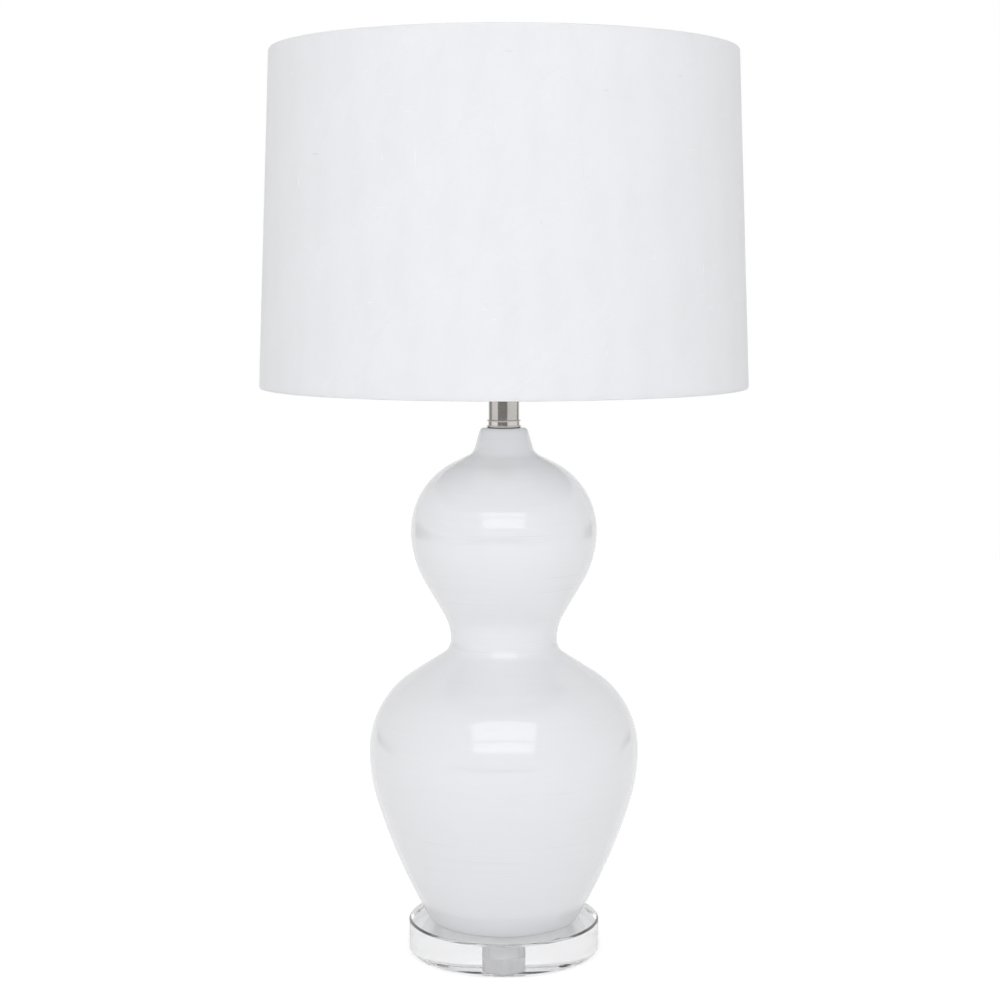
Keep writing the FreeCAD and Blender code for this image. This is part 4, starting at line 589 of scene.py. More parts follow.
def slub_tree():
    """Scatters thick places of yarn over the flat cloth, then wraps the cloth on its cone.

    The flat cloth lies in X and Y; a slub is a long spindle along X, or along Y for a warp thread.
    """
    tree, given = new_tree("Linen slubs", ("Count", "Seed"), (
        "Width", "Height", "Bottom Radius", "Top Radius", "Bottom", "Thickness"))

    def chance(number, low=0.0, high=1.0):
        """A random number for each slub; each number has a seed of its own."""
        seed = total(tree, given["Seed"], float(number))
        node = add_node(tree, "FunctionNodeRandomValue", {2: low, 3: high, "Seed": seed}, data_type="FLOAT")
        return node.outputs[1]

    edge, warp_from, pointed, flatness = 0.06, 0.62, 6.0, 0.55
    shortest, longer, thinnest = 4 * MM, 12 * MM, 0.22
    spots = outcome(tree, "GeometryNodeMeshLine", {"Count": given["Count"], "Offset": (0.0, 0.0, 0.0)})
    x = product(tree, chance(0), given["Width"])
    y = product(tree, chance(1, edge, 1 - edge), given["Height"])
    spread = moved(tree, spots, combine(tree, x, y, 0.0))
    line = outcome(tree, "GeometryNodeCurvePrimitiveLine", {
        "Start": (-0.5, 0.0, 0.0), "End": (0.5, 0.0, 0.0)})
    fine = outcome(tree, "GeometryNodeResampleCurve", {"Curve": line, "Count": 9})
    along = add_node(tree, "GeometryNodeSplineParameter").outputs["Factor"]
    swell = calculate(tree, "SINE", product(tree, along, math.pi))
    spindle = swept(tree, fine, 4, 1.0, swell)
    turn = product(tree, calculate(tree, "GREATER_THAN", chance(2), warp_from), math.pi / 2)
    length = calculate(tree, "MULTIPLY_ADD", calculate(tree, "POWER", chance(3), 4.0), longer, shortest)
    thick = calculate(tree, "POWER", chance(4), pointed)
    width = product(tree, given["Thickness"], calculate(tree, "MULTIPLY_ADD", thick, 1 - thinnest, thinnest))
    placed = outcome(tree, "GeometryNodeInstanceOnPoints", {
        "Points": spread, "Instance": spindle, "Rotation": combine(tree, 0.0, 0.0, turn),
        "Scale": combine(tree, length, width, product(tree, width, flatness))})
    real = outcome(tree, "GeometryNodeRealizeInstances", {0: placed})
    x, y, proud = parted(tree, outcome(tree, "GeometryNodeInputPosition"))
    radius = outcome(tree, "ShaderNodeMix", {
        0: calculate(tree, "DIVIDE", y, given["Height"]), 2: given["Bottom Radius"], 3: given["Top Radius"]},
        data_type="FLOAT")
    around = polar(tree, total(tree, radius, proud), share_of_turn(tree, x, given["Width"]))
    cloth = unrolled(tree, real, combine(tree, x, y, 0.0))
    on_cone = moved(tree, cloth, combine(tree, *around, total(tree, given["Bottom"], y)))
    return end_tree(tree, on_cone, given["Material"])


TREES = {}


def tree_from(maker):
    """A tree that is built once, when it is first asked for."""
    if maker not in TREES:
        TREES[maker] = maker()
    return TREES[maker]


# ---------------------------------------------------------------- outlines

def direction(centre, point):
    """Angle of the way from a centre to a point."""
    return math.atan2(point.y - centre.y, point.x - centre.x)


def rounded(corners, steps=4):
    """A closed outline through (radius, height, rounding) corners, in millimetres."""
    outline = []
    for number, (x, y, rounding) in enumerate(corners):
        corner = Vector((x, y))
        before = Vector(corners[number - 1][:2]) - corner
        after = Vector(corners[(number + 1) % len(corners)][:2]) - corner
        if rounding == 0:
            outline.append(corner)
            continue
        half = before.angle(after) / 2
        back = rounding / math.tan(half)
        start = corner + before.normalized() * back
        inward = (before.normalized() + after.normalized()).normalized()
        middle = corner + inward * rounding / math.sin(half)
        end = corner + after.normalized() * back
        first = direction(middle, start)
        sweep = direction(middle, end) - first
        sweep = (sweep + math.pi) % TURN - math.pi
        for step in range(steps + 1):
            turn = first + sweep * step / steps
            outline.append(middle + Vector((math.cos(turn), math.sin(turn))) * rounding)
    return held(outline)


def held(outline, hold=0.2):
    """Adds a point close to each end of a long straight line, so that it is shaded flat up to its ends."""
    firm = []
    for here, there in zip(outline, outline[1:] + outline[:1]):
        firm.append(here)
        run = there - here
        if run.length > 5 * hold:
            firm += [here + run.normalized() * hold, there - run.normalized() * hold]
    return firm


def divided(outline, longest, low=-math.inf, high=math.inf, closed=True):
    """The outline with what lies between two heights cut into steps no longer than given."""
    fine = []
    following = outline[1:] + outline[:1] if closed else outline[1:]
    for here, there in zip(outline, following):
        fine.append(here)
        run = there - here
        stops = [(height - here.y) / run.y for height in (low, high) if run.y]
        stops = [0.0] + sorted(stop for stop in stops if 0 < stop < 1) + [1.0]
        for first, last in zip(stops, stops[1:]):
            if first > 0:
                fine.append(here + run * first)
            if low <= here.y + run.y * (first + last) / 2 <= high:
                pieces = math.ceil(run.length * (last - first) / longest)
                fine += [here + run * (first + (last - first) * step / pieces) for step in range(1, pieces)]
    return fine if closed else fine + outline[-1:]


def tube_outline(inner, outer, low, high, rounding=0.15):
    """Section of a plain tube; a bar is a tube with no bore."""
    at_bore = rounding if inner > 0 else 0
    return rounded([(inner, low, at_bore), (outer, low, rounding), (outer, high, rounding),
                    (inner, high, at_bore)])


def circle_outline(centre_radius, centre_height, radius, steps=16):
    """Section of a ring of round wire."""
    return [Vector((centre_radius + radius * math.cos(TURN * step / steps),
                    centre_height + radius * math.sin(TURN * step / steps))) for step in range(steps)]


def arc_points(centre, radius, start, end, step=1.4):
    """Points on an arc between two directions, both ends included."""
    count = max(2, math.ceil(abs(end - start) * abs(radius) / step))
    turns = [start + (end - start) * number / count for number in range(count + 1)]
    return [centre + Vector((math.cos(turn), math.sin(turn))) * radius for turn in turns]


# ---------------------------------------------------------------- pieces

def add_object(name, data):
    thing = bpy.data.objects.new(name, data)
    bpy.context.scene.collection.objects.link(thing)
    return thing


def new_piece(name, points, edges, faces=()):
    mesh = bpy.data.meshes.new(name)
    mesh.from_pydata(points, edges, faces)
    return add_object(name, mesh)


def tidy_mesh(thing, sharp=math.radians(32)):
    """Closes the seams, points the faces outwards and keeps only real edges sharp."""
    shape = bmesh.new()
    shape.from_mesh(thing.data)
    bmesh.ops.remove_doubles(shape, verts=shape.verts, dist=SAME_POINT)
    loose = [edge for edge in shape.edges if not edge.link_faces]
    bmesh.ops.delete(shape, geom=loose, context="EDGES")
    bmesh.ops.recalc_face_normals(shape, faces=shape.faces)
    shape.to_mesh(thing.data)
    shape.free()
    thing.data.shade_smooth()
    thing.data.set_sharp_from_angle(angle=sharp)
    return thing


# what each point of an outline carries into the tree that turns it
OUTLINE_VALUES = {"spot": "FLOAT_VECTOR", "outward": "FLOAT_VECTOR", "thread": "FLOAT", "flute": "FLOAT",
                  "rings": "FLOAT", "along": "FLOAT"}


def turned(name, outline, material, segments=96, weights=None, **inputs):
    """Turns a closed outline about the lamp's axis.

    weights gives, for each relief, a function of (radius, height) that says how much of it shows.
    """
    loop = [Vector(point) for point in outline] + [Vector(outline[0])]
    count = len(outline)
    area = sum(here.cross(there) for here, there in zip(loop, loop[1:]))
    side = 1 if area > 0 else -1
    thing = new_piece(name, [(point.x * MM, 0, point.y * MM) for point in loop],
                      [(step, step + 1) for step in range(count)])
    for layer, kind in OUTLINE_VALUES.items():
        thing.data.attributes.new(layer, kind, "POINT")
    layers = {layer: thing.data.attributes[layer].data for layer in OUTLINE_VALUES}
    along = 0.0
    for number, point in enumerate(loop):
        run = loop[(number + 1) % count] - loop[(number - 1) % count]
        layers["spot"][number].vector = (point.x * MM, 0, point.y * MM)
        layers["outward"][number].vector = Vector((run.y, 0, -run.x)).normalized() * side
        for relief, weight in (weights or {}).items():
            layers[relief][number].value = weight(point.x, point.y)
        if number:
            along += (point - loop[number - 1]).length * MM
        layers["along"][number].value = along
    given = {"Segments": segments, "Thread Pitch": 1.0, "Ring Spacing": 1.0}
    given.update({key.replace("_", " ").title(): number for key, number in inputs.items()})
    run_tree(tree_from(turned_tree), thing, material, given)
    return tidy_mesh(thing)


def wire(name, path, radius, material, sides=20):
    """A round wire along a path of (side, height) points; path and radius are in millimetres."""
    points = [Vector((point.x * MM, 0, point.y * MM)) for point in path]
    thing = new_piece(name, points, [(step, step + 1) for step in range(len(points) - 1)])
    run_tree(tree_from(wire_tree), thing, material, {"Radius": radius * MM, "Sides": sides})
    return tidy_mesh(thing)


def repeated(thing, count, material):
    """Copies of a piece spaced evenly round the lamp's axis, as one piece."""
    return tidy_mesh(run_tree(tree_from(ring_tree), thing, material, {"Count": count}))


def joined(name, *things):
    """Several shapes of one piece as one mesh."""
    shape = bmesh.new()
    for thing in things:
        shape.from_mesh(thing.data)
    mesh = bpy.data.meshes.new(name)
    shape.to_mesh(mesh)
    shape.free()
    mesh.materials.append(things[0].data.materials[0])
    for thing in things:
        bpy.data.objects.remove(thing)
    return tidy_mesh(add_object(name, mesh))


def soften_edges(thing, width, from_angle):
    """Adds a small bevel, in millimetres, on the edges that are sharper than an angle."""
    soften = thing.modifiers.new("eased edges", "BEVEL")
    soften.width = width * MM
    soften.segments = 2
    soften.limit_method = "ANGLE"
    soften.angle_limit = math.radians(from_angle)


def eased(name, node, width, material):
    """A copy of a node of the frame with its sharp edges slightly rounded."""
    mesh = frame["nodes"][node].data.copy()
    mesh.materials.clear()
    mesh.materials.append(MATERIALS[material])
    shape = bmesh.new()
    shape.from_mesh(mesh)
    bmesh.ops.remove_doubles(shape, verts=shape.verts, dist=10 * SAME_POINT)
    bmesh.ops.dissolve_limit(shape, angle_limit=math.radians(2), verts=shape.verts, edges=shape.edges)
    shape.to_mesh(mesh)
    shape.free()
    thing = add_object(name, mesh)
    soften_edges(thing, width, 40)
    return tidy_mesh(keep_result(thing))


def cut_away(thing, tool):
    """Takes a closed shape out of a closed piece."""
    cut = thing.modifiers.new("cut", "BOOLEAN")
    cut.operation = "DIFFERENCE"
    cut.solver = "EXACT"
    cut.object = tool
    keep_result(thing)
    bpy.data.objects.remove(tool)
    return tidy_mesh(thing)


def block(low, high):
    """A box between two corners, in millimetres."""
    points = [Vector((x, y, z)) * MM for x in (low[0], high[0]) for y in (low[1], high[1])
              for z in (low[2], high[2])]
    faces = [(0, 1, 3, 2), (4, 6, 7, 5), (0, 4, 5, 1), (2, 3, 7, 6), (0, 2, 6, 4), (1, 5, 7, 3)]
    return new_piece("block", points, [], faces)


def laid(thing, matrix):
    """Moves a mesh, not its object."""
    thing.data.transform(matrix)
    return thing


def settle(thing, body, slot, *nodes):
    """Lets a finished piece ride on its body in place of the nodes it stands for."""
    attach(thing, body)
    if nodes:
        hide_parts(*nodes)
    return thing


def fit_turned(name, node, body, slot, outline, segments=96, **more):
    """Turns a piece and settles it in its node's place."""
    return settle(turned(name, outline, slot, segments, **more), body, slot, node)


def fit_tube(name, node, slot, inner, outer, rounding, segments=96):
    """A plain tube or washer of the lamp's base, as high as its node."""
    outline = tube_outline(inner, outer, *span(node), rounding)
    return fit_turned(name, node, "lamp_base", slot, outline, segments)


def fit_eased(name, node, slot, width):
    """Settles an eased copy of a node of the lamp's base in that node's place."""
    return settle(eased(name, node, width, slot), "lamp_base", slot, node)


# ---------------------------------------------------------------- base

FOOT = span("foot_gasket")[1]
INLET_HEIGHT = 30.0


def build_clear_base():
    low, high = span("acrylic_base")
    radius = reach("acrylic_base")
    bevel = 1.5
    recess, rod_hole, depth = 11.0, 5.2, 12.0
    fit_turned("clear_disc", "acrylic_base", "lamp_base", "clear_acrylic", rounded([
        (recess, low, 0.12),
        (radius - bevel, low, 0.2), (radius, low + bevel, 0.2),
        (radius, high - bevel, 0.2), (radius - bevel, high, 0.2),
        (rod_hole, high, 0.12),
        (rod_hole, low + depth, 0.12), (recess, low + depth, 0.25),
    ]), 256)


def build_pads():
    """Four low domed pads; one is turned and set off to its place, and the rest repeat it."""
    low, high = span("base_pads")
    pad_radius, dome, pad_circle = 5.0, 1.0, 60.0
    outline = rounded([(0, low, 0), (pad_radius - dome, low, 0.5), (pad_radius, high, 0), (0, high, 0)])
    pad = turned("soft_pads", outline, "clear_rubber", 32)
    side = pad_circle * MM / math.sqrt(2)
    laid(pad, Matrix.Translation((side, side, 0)))
    settle(repeated(pad, 4, "clear_rubber"), "lamp_base", "clear_rubber", "base_pads")


def build_foot_gasket():
    """The soft ring between ceramic and acrylic, made a smoky grey as painted shade, so that it shows as the
    thin dark line of the contact shadow under the foot.
    """
    outer, width = reach("foot_gasket"), 7.0
    outline = tube_outline(outer - width, outer, *span("foot_gasket"), 0.15)
    ring = turned("foot_ring_gasket", outline, "contact_shadow_rubber", 160)
    settle(ring, "lamp_base", "clear_rubber", "foot_gasket")


def build_fixings():
    fit_tube("flat_washer", "base_washer", "zinc_steel", 5.2, 9.5, 0.2)
    fit_eased("split_washer", "base_lock_washer", "zinc_steel", 0.15)
    fit_eased("hexagon_nut", "base_nut", "zinc_steel", 0.12)


def build_rod():
    """The lamp rod; its thread shows in the recess, through the clear base and in the lampholder's cap."""
    low, high = span("threaded_rod")
    crest, bore, pitch, thread_low, thread_high = 5.0, 3.5, 1.0, low + 27, high - 22
    bare_end, run_out = 0.5, 0.8
    outline = tube_outline(bore, crest, low, high, 0.3)
    outline = divided(outline, pitch / 8, low + bare_end, thread_low)
    outline = divided(outline, pitch / 8, thread_high, high - bare_end)

    def cut_thread(radius, height):
        """Thread on the rod's ends, none between them or in the bore."""
        ends = max(min(height - low, thread_low - height), min(high - height, height - thread_high))
        return max(0.0, min(1.0, ends / run_out)) if radius > crest - 0.05 else 0.0

    rod = turned("lamp_rod", outline, "zinc_steel", 32, {"thread": cut_thread},
                 thread_pitch=pitch * MM, thread_depth=0.45 * MM)
    window, side, length, past_wall = FOOT + INLET_HEIGHT, 2.5, 12, 6
    cut_away(rod, block((-side, 0, window - length), (side, past_wall, window + length)))
    settle(rod, "lamp_base", "zinc_steel", "threaded_rod")


# ---------------------------------------------------------------- ceramic body

# radii, heights above the foot, and radii of the curves between them
GOURD = {
    "foot": 58.0, "flank_curve": 450.0, "belly": 104.2, "belly_height": 132.0, "belly_curve": 128.0,
    "shoulder_curve": 70.0, "waist": 41.0, "waist_height": 218.6, "waist_lower_curve": 14.0,
    "waist_upper_curve": 40.5, "upper": 71.3, "upper_height": 302.4, "upper_lower_curve": 77.0,
    "upper_shoulder_curve": 58.7, "neck": 21.9, "neck_height": 369.0, "neck_curve": 9.0,
    "neck_lean": math.radians(16), "top_rounding": 4.0, "height": 382.0,
}


def crosswise(hill, hill_radius, hollow, hollow_radius, side):
    """Direction square to the line that touches a hill's circle and a hollow's circle."""
    gap = hollow - hill
    return direction(hill, hollow) + side * math.acos((hill_radius + hollow_radius) / gap.length)


def gourd_side(inset):
    """The ceramic's outline from foot to neck, above its foot, moved in by a wall's thickness.

    Wide places and the waist are points where two arcs meet upright; straight stretches lie between.
    """
    size = GOURD
    belly = Vector((size["belly"] - size["belly_curve"], size["belly_height"]))
    shoulder = Vector((size["belly"] - size["shoulder_curve"], size["belly_height"]))
    below_waist = Vector((size["waist"] + size["waist_lower_curve"], size["waist_height"]))
    above_waist = Vector((size["waist"] + size["waist_upper_curve"], size["waist_height"]))
    below_upper = Vector((size["upper"] - size["upper_lower_curve"], size["upper_height"]))
    above_upper = Vector((size["upper"] - size["upper_shoulder_curve"], size["upper_height"]))
    neck = Vector((size["neck"] + size["neck_curve"], size["neck_height"]))
    # the flank's circle passes the foot and touches the belly's circle from outside
    foot = Vector((size["foot"], 0))
    chord = belly - foot
    bend = size["flank_curve"]
    along = (bend ** 2 - (bend - size["belly_curve"]) ** 2 + chord.length_squared) / (2 * chord.length)
    aside = math.sqrt(bend ** 2 - along ** 2)
    unit = chord.normalized()
    flank = foot + unit * along + Vector((-unit.y, unit.x)) * aside
    flank_end = direction(flank, belly)
    flank_start = math.asin(-flank.y / bend)
    low = crosswise(shoulder, size["shoulder_curve"], below_waist, size["waist_lower_curve"], -1)
    mid = crosswise(below_upper, size["upper_lower_curve"], above_waist, size["waist_upper_curve"], 1)
    high = crosswise(above_upper, size["upper_shoulder_curve"], neck, size["neck_curve"], -1)
    lean = size["neck_lean"]
    hollow = math.pi
    return (
        arc_points(flank, bend - inset, flank_start, flank_end)
        + arc_points(belly, size["belly_curve"] - inset, flank_end, 0)[1:]
        + arc_points(shoulder, size["shoulder_curve"] - inset, 0, low)[1:]
        + arc_points(below_waist, size["waist_lower_curve"] + inset, low + hollow, hollow)
        + arc_points(above_waist, size["waist_upper_curve"] + inset, hollow, mid + hollow)[1:]
        + arc_points(below_upper, size["upper_lower_curve"] - inset, mid, 0)
        + arc_points(above_upper, size["upper_shoulder_curve"] - inset, 0, high)[1:]
        + arc_points(neck, size["neck_curve"] + inset, high + hollow, lean + hollow)
    )


def gourd_outline():
    """Closed outline of the whole ceramic wall, heights above its foot."""
    wall, floor, rim, floor_round = 6.0, 9.0, 7.0, 4
    neck_hole, floor_hole, foot_ring, foot_recess = 8.5, 6.5, 12.0, 3.0
    foot_round, ring_round, hole_round = 0.8, 0.4, 0.5
    top, rounding, lean = GOURD["height"], GOURD["top_rounding"], GOURD["neck_lean"]
    outside = divided(gourd_side(0.0), 1.4, closed=False)
    square = Vector((math.cos(lean), math.sin(lean)))
    rise = Vector((-math.sin(lean), math.cos(lean)))
    edge = outside[-1] - square * rounding
    edge += rise * ((top - rounding - edge.y) / rise.y)
    outside += arc_points(edge, rounding, lean, math.pi / 2, 0.5)
    # the glaze stops just above the foot ring's edge, which is rounded off
    foot_edge = Vector((GOURD["foot"] - foot_round, 0))
    outside = [point for point in outside if point.y > foot_round]
    inside = [point for point in gourd_side(wall) if floor + 3 < point.y < top - rim - 1]
    inner_foot = inside[0]
    inner_top = inside[-1]
    ring_inner = GOURD["foot"] - foot_ring
    return (
        [Vector((floor_hole, foot_recess)), Vector((ring_inner, foot_recess)),
         Vector((ring_inner, ring_round)), Vector((ring_inner + ring_round, 0)),
         foot_edge, Vector((GOURD["foot"] - 0.2, 0.25))]
        + outside
        + [Vector((neck_hole + hole_round, top)), Vector((neck_hole, top - hole_round)),
           Vector((neck_hole, top - rim)), Vector((inner_top.x, top - rim))]
        + inside[::-1][::3]
        + [inner_foot, Vector((inner_foot.x - floor_round, floor)), Vector((floor_hole, floor))]
    )


def inlet_place():
    """Matrix that stands a piece on the ceramic's rear flank, at the cord's inlet."""
    outside = gourd_side(0.0)
    number = next(step for step, point in enumerate(outside) if point.y > INLET_HEIGHT)
    here, there = outside[number - 1], outside[number]
    spot = here.lerp(there, (INLET_HEIGHT - here.y) / (there.y - here.y))
    run = (there - here).normalized()
    tilt = math.atan2(-run.x, run.y)
    lie = Matrix.Rotation(-(math.pi / 2 - tilt), 4, "X")
    return Matrix.Translation((0, spot.x * MM, (FOOT + INLET_HEIGHT) * MM)) @ lie


def build_gourd(sizes):
    outline = [Vector((point.x, point.y + FOOT)) for point in gourd_outline()]
    neck_end = FOOT + GOURD["height"] - GOURD["top_rounding"]
    foot_fade, neck_fade = 8, 12
    wall_middle = gourd_side(3.0)

    def limit_at(height):
        """Radius of the wall's middle at a height, which parts outside from inside."""
        return min((abs(point.y + FOOT - height), point.x) for point in wall_middle)[1]

    def glazed(radius, height):
        """Rings show on the outside only and fade out at the foot and the neck."""
        above = (height - FOOT) / foot_fade
        below = (neck_end - height) / neck_fade
        return max(0.0, min(1.0, above, below)) if radius > limit_at(height) else 0.0

    body = turned("glazed_gourd", outline, "white_glaze", 168, {"rings": glazed},
                  ring_spacing=sizes.ring_spacing, ring_relief=sizes.ring_relief, seed=sizes.seed)
    hole, half_length = 6.2, 14.0
    drill = turned("inlet_drill", tube_outline(0, hole, -half_length, half_length, 0), "bare_clay", 48)
    cut_away(body, laid(drill, inlet_place()))
    settle(body, "lamp_base", "white_glaze", "gourd_body")


def build_inlet_bush():
    bore, shank, flange = 4.0, 6.0, 8.5
    tail, lift, thick = -9.0, 0.3, 1.6
    outline = rounded([
        (bore, tail, 0.3), (shank, tail, 0.3), (shank, lift, 0), (flange, lift, 0.2),
        (flange, lift + thick, 0.8), (bore, lift + thick, 0.7),
    ])
    bush = laid(turned("inlet_bush", outline, "white_plastic", 64), inlet_place())
    settle(bush, "lamp_base", "white_plastic", "cord_inlet_bush")


# ---------------------------------------------------------------- bright neck

def build_neck():
    fit_tube("seal_washer", "neck_seal", "black_rubber", 8.5, 12.6, 0.1)
    low = span("check_ring")[0]
    flange, band, lip, bore, spigot = 13.0, 12.0, 12.9, 5.2, 10.4
    flange_top, band_top, lip_top, top = low + 1.3, low + 4.5, low + 5.3, low + 7.3
    fit_turned("stepped_ring", "check_ring", "lamp_base", "polished_nickel", rounded([
        (bore, low, 0.1), (flange, low, 0.3), (flange, flange_top, 0.3), (band + 0.02, flange_top, 0.1),
        (band - 0.04, band_top, 0.1), (lip, band_top, 0.25), (lip, lip_top, 0.25),
        (spigot, lip_top, 0.1), (spigot, top, 0.2), (bore, top, 0.1),
    ]), 160)
    fit_tube("bright_tube", "neck_tube", "polished_nickel", 10.5, 11.7, 0.2, 160)
    fit_tube("top_washer", "neck_washer", "zinc_steel", 5.2, 11.7, 0.2)


# ---------------------------------------------------------------- harp and finial

EYE_THICK = 3.3
POST_LENGTH, SEAT_THICK = 13.0, 1.5


def harp_line():
    """Right half of the harp's line from its lower tip to the eye, as (side, height) in millimetres."""
    tip, top = span("harp_wire")
    middle = top - EYE_THICK / 2
    leg, widest, rise, eye_edge = 30.4, 57.0, 90.0, 4.0
    side_bend, flare_bend, corner_bend = 170.0, 40.0, 30.0
    side = Vector((widest - side_bend, middle - rise))
    flare_x = leg + flare_bend
    flare = Vector((flare_x, side.y - math.sqrt((side_bend + flare_bend) ** 2 - (flare_x - side.x) ** 2)))
    corner_y = middle - corner_bend
    corner_x = side.x + math.sqrt((side_bend - corner_bend) ** 2 - (corner_y - side.y) ** 2)
    corner = Vector((corner_x, corner_y))
    flare_turn = direction(side, flare)
    corner_turn = direction(side, corner)
    return (
        [Vector((leg, tip))]
        + arc_points(flare, flare_bend, math.pi, flare_turn + math.pi, 2.0)
        + arc_points(side, side_bend, flare_turn, corner_turn, 4.0)[1:]
        + arc_points(corner, corner_bend, corner_turn, math.pi / 2, 2.0)[1:]
        + [Vector((eye_edge, middle))]
    )


def build_harp():
    right = harp_line()
    left = [Vector((-point.x, point.y)) for point in right]
    sides = [wire(f"harp_side_{number}", path, 1.6, "polished_nickel")
             for number, path in enumerate((right, left))]
    top = span("harp_wire")[1]
    eye = turned("harp_eye", tube_outline(2.05, 7.5, top - EYE_THICK, top, 0.5), "polished_nickel", 64)
    settle(joined("bent_harp", *sides, eye), "harp", "polished_nickel", "harp_wire")
    fit_eased("saddle_strip", "harp_saddle", "polished_nickel", 0.3)


def build_harp_sleeves():
    """Locking sleeves with a rolled bead at each end."""
    bore, wall, bead, bead_end, bead_edge = 3.45, 3.95, 4.2, 1.6, 1.9
    for hand, x in (("left", -29.55), ("right", 29.55)):
        node = f"{hand}_harp_sleeve"
        low, high = span(node)
        outline = rounded([
            (bore, low, 0.15), (bead, low, 0.3), (bead, low + bead_end, 0.25), (wall, low + bead_edge, 0.1),
            (wall, high - bead_edge, 0.1), (bead, high - bead_end, 0.25), (bead, high, 0.3),
            (bore, high, 0.15),
        ])
        sleeve = turned(f"{hand}_locking_sleeve", outline, "polished_nickel", 48)
        laid(sleeve, Matrix.Translation((x * MM, 0, 0)))
        settle(sleeve, f"{hand}_sleeve", "polished_nickel", node)


def build_stud():
    """Swivel stud: rivet head under the eye, seat for the shade's hub, threaded post."""
    low, high = span("harp_swivel_stud")
    seat_high = high - POST_LENGTH
    seat_low = seat_high - SEAT_THICK
    head, rivet, seat, post, pitch = 3.6, 2.0, 9.5, 3.1, 25.4 / 27
    outline = rounded([
        (0, low, 0), (head, low, 0.5), (head, low + 1.2, 0.1), (rivet, low + 1.2, 0.1),
        (rivet, seat_low, 0.1), (seat, seat_low, 0.3), (seat, seat_high, 0.3), (post, seat_high, 0.1),
        (post, high - 0.6, 0), (post - 0.6, high, 0), (0, high, 0),
    ])
    outline = divided(outline, pitch / 8, seat_high + 0.3, high - 0.8)

    def cut_thread(radius, height):
        """Thread on the post's wall only, clear of its seat and its end."""
        on_wall = post - 0.05 < radius < post + 0.9
        return 1.0 if on_wall and seat_high + 1 < height < high - 0.8 else 0.0

    fit_turned("swivel_stud", "harp_swivel_stud", "shade", "polished_nickel", outline, 48,
               weights={"thread": cut_thread}, thread_pitch=pitch * MM, thread_depth=0.35 * MM)


def build_finial():
    bore, foot, rim, ball = 3.15, 5.2, 8.5, 9.0
    low, high = span("finial_base")
    fit_turned("finial_foot_piece", "finial_base", "finial_foot", "polished_nickel", rounded([
        (bore, low, 0.1), (rim, low, 0.45), (rim, low + 1.8, 0.4), (7.0, low + 2.2, 0.3),
        (foot, low + 4.0, 0.8), (foot, high, 0.15), (bore, high, 0.1),
    ], 6))
    low, high = span("finial_knob")
    centre = Vector((0, high - ball))
    bore_end = low + 6.0
    skin = arc_points(centre, ball, math.asin((low - centre.y) / ball), math.pi / 2, 0.5)
    skin[-1].x = 0.0
    corners = ((0, bore_end), (bore, bore_end), (bore, low), (foot - 0.15, low))
    fit_turned("finial_ball", "finial_knob", "finial", "polished_nickel",
               [Vector(corner) for corner in corners] + skin)


# ---------------------------------------------------------------- shade

SHADE_LOW = span("shade_bottom_hem")[0]
SHADE_HIGH = span("shade_top_hem")[1]
SHADE_TOP, SHADE_BOTTOM = 175.5, reach("shade_bottom_hem")
SLOPE = (SHADE_BOTTOM - SHADE_TOP) / (SHADE_HIGH - SHADE_LOW)
GIRTH = TURN * (SHADE_TOP + SHADE_BOTTOM) / 2
CLOTH, LINING, RING_WIRE, HEM = 0.7, 0.5, 1.5, 11.0


def shade_radius(height):
    """Outer face of the shade at a height."""
    return SHADE_BOTTOM - (height - SHADE_LOW) * SLOPE


def on_shade(height, inset=0.0):
    """A point of the shade's section at a height, as far in from its outer face as given."""
    return Vector((shade_radius(height) - inset, height))


def hem_line(edge, inward, skin):
    """Middle line of the cloth where it turns over a ring, from the outer face to the hem's end.

    skin is how far the line lies from the ring's wire; inward is -1 at the top edge, 1 at the bottom.
    """
    inner = CLOTH + LINING
    centre = on_shade(edge + inward * (0.65 + RING_WIRE), inner + 0.05 + RING_WIRE)
    line = []
    for step in range(11):
        turn = math.pi * step / 10
        line.append(centre + Vector((math.cos(turn), -inward * math.sin(turn))) * (RING_WIRE + skin))
    for height in (centre.y + inward * 2.4, edge + inward * HEM):
        line.append(on_shade(height, inner + 0.1 + skin))
    return line


def build_cover(sizes):
    """The linen: one sheet round the shade, turned over both wire rings and glued inside."""
    out, back, turned_edge, rows = 0.55, 0.05, 1.6, 110
    low, high = SHADE_LOW + turned_edge, SHADE_HIGH - turned_edge
    face = [on_shade(low + (high - low) * step / rows) for step in range(rows + 1)]
    inner_face = [on_shade(height, CLOTH) for height in (high - 1.0, (low + high) / 2, low + 1.0)]
    outline = (hem_line(SHADE_LOW, 1, out)[::-1] + face + hem_line(SHADE_HIGH, -1, out)
               + hem_line(SHADE_HIGH, -1, back)[::-1] + inner_face + hem_line(SHADE_LOW, 1, back))
    wall = turned("linen_cover", outline, "white_linen", 360, {"rings": lambda radius, height: 1.0},
                  ring_spacing=0.06, ring_relief=0.12 * MM, seed=sizes.seed)
    for loop in wall.data.uv_layers["UVMap"].data:
        loop.uv.x *= GIRTH * MM
    notch_for_arms(wall)
    return settle(wall, "shade", "white_linen", "shade_fabric", "shade_top_hem", "shade_bottom_hem")


def notch_for_arms(wall):
    """Opens the turned hem where the spider's arms reach the top ring."""
    side, length, low, high = 2.2, 9, SHADE_HIGH - HEM - 0.5, SHADE_HIGH - 0.65
    outer = shade_radius(SHADE_HIGH) - CLOTH - LINING - 0.5
    for number in range(3):
        gap = block((outer - length, -side, low), (outer, side, high))
        cut_away(wall, laid(gap, Matrix.Rotation(TURN * number / 3, 4, "Z")))


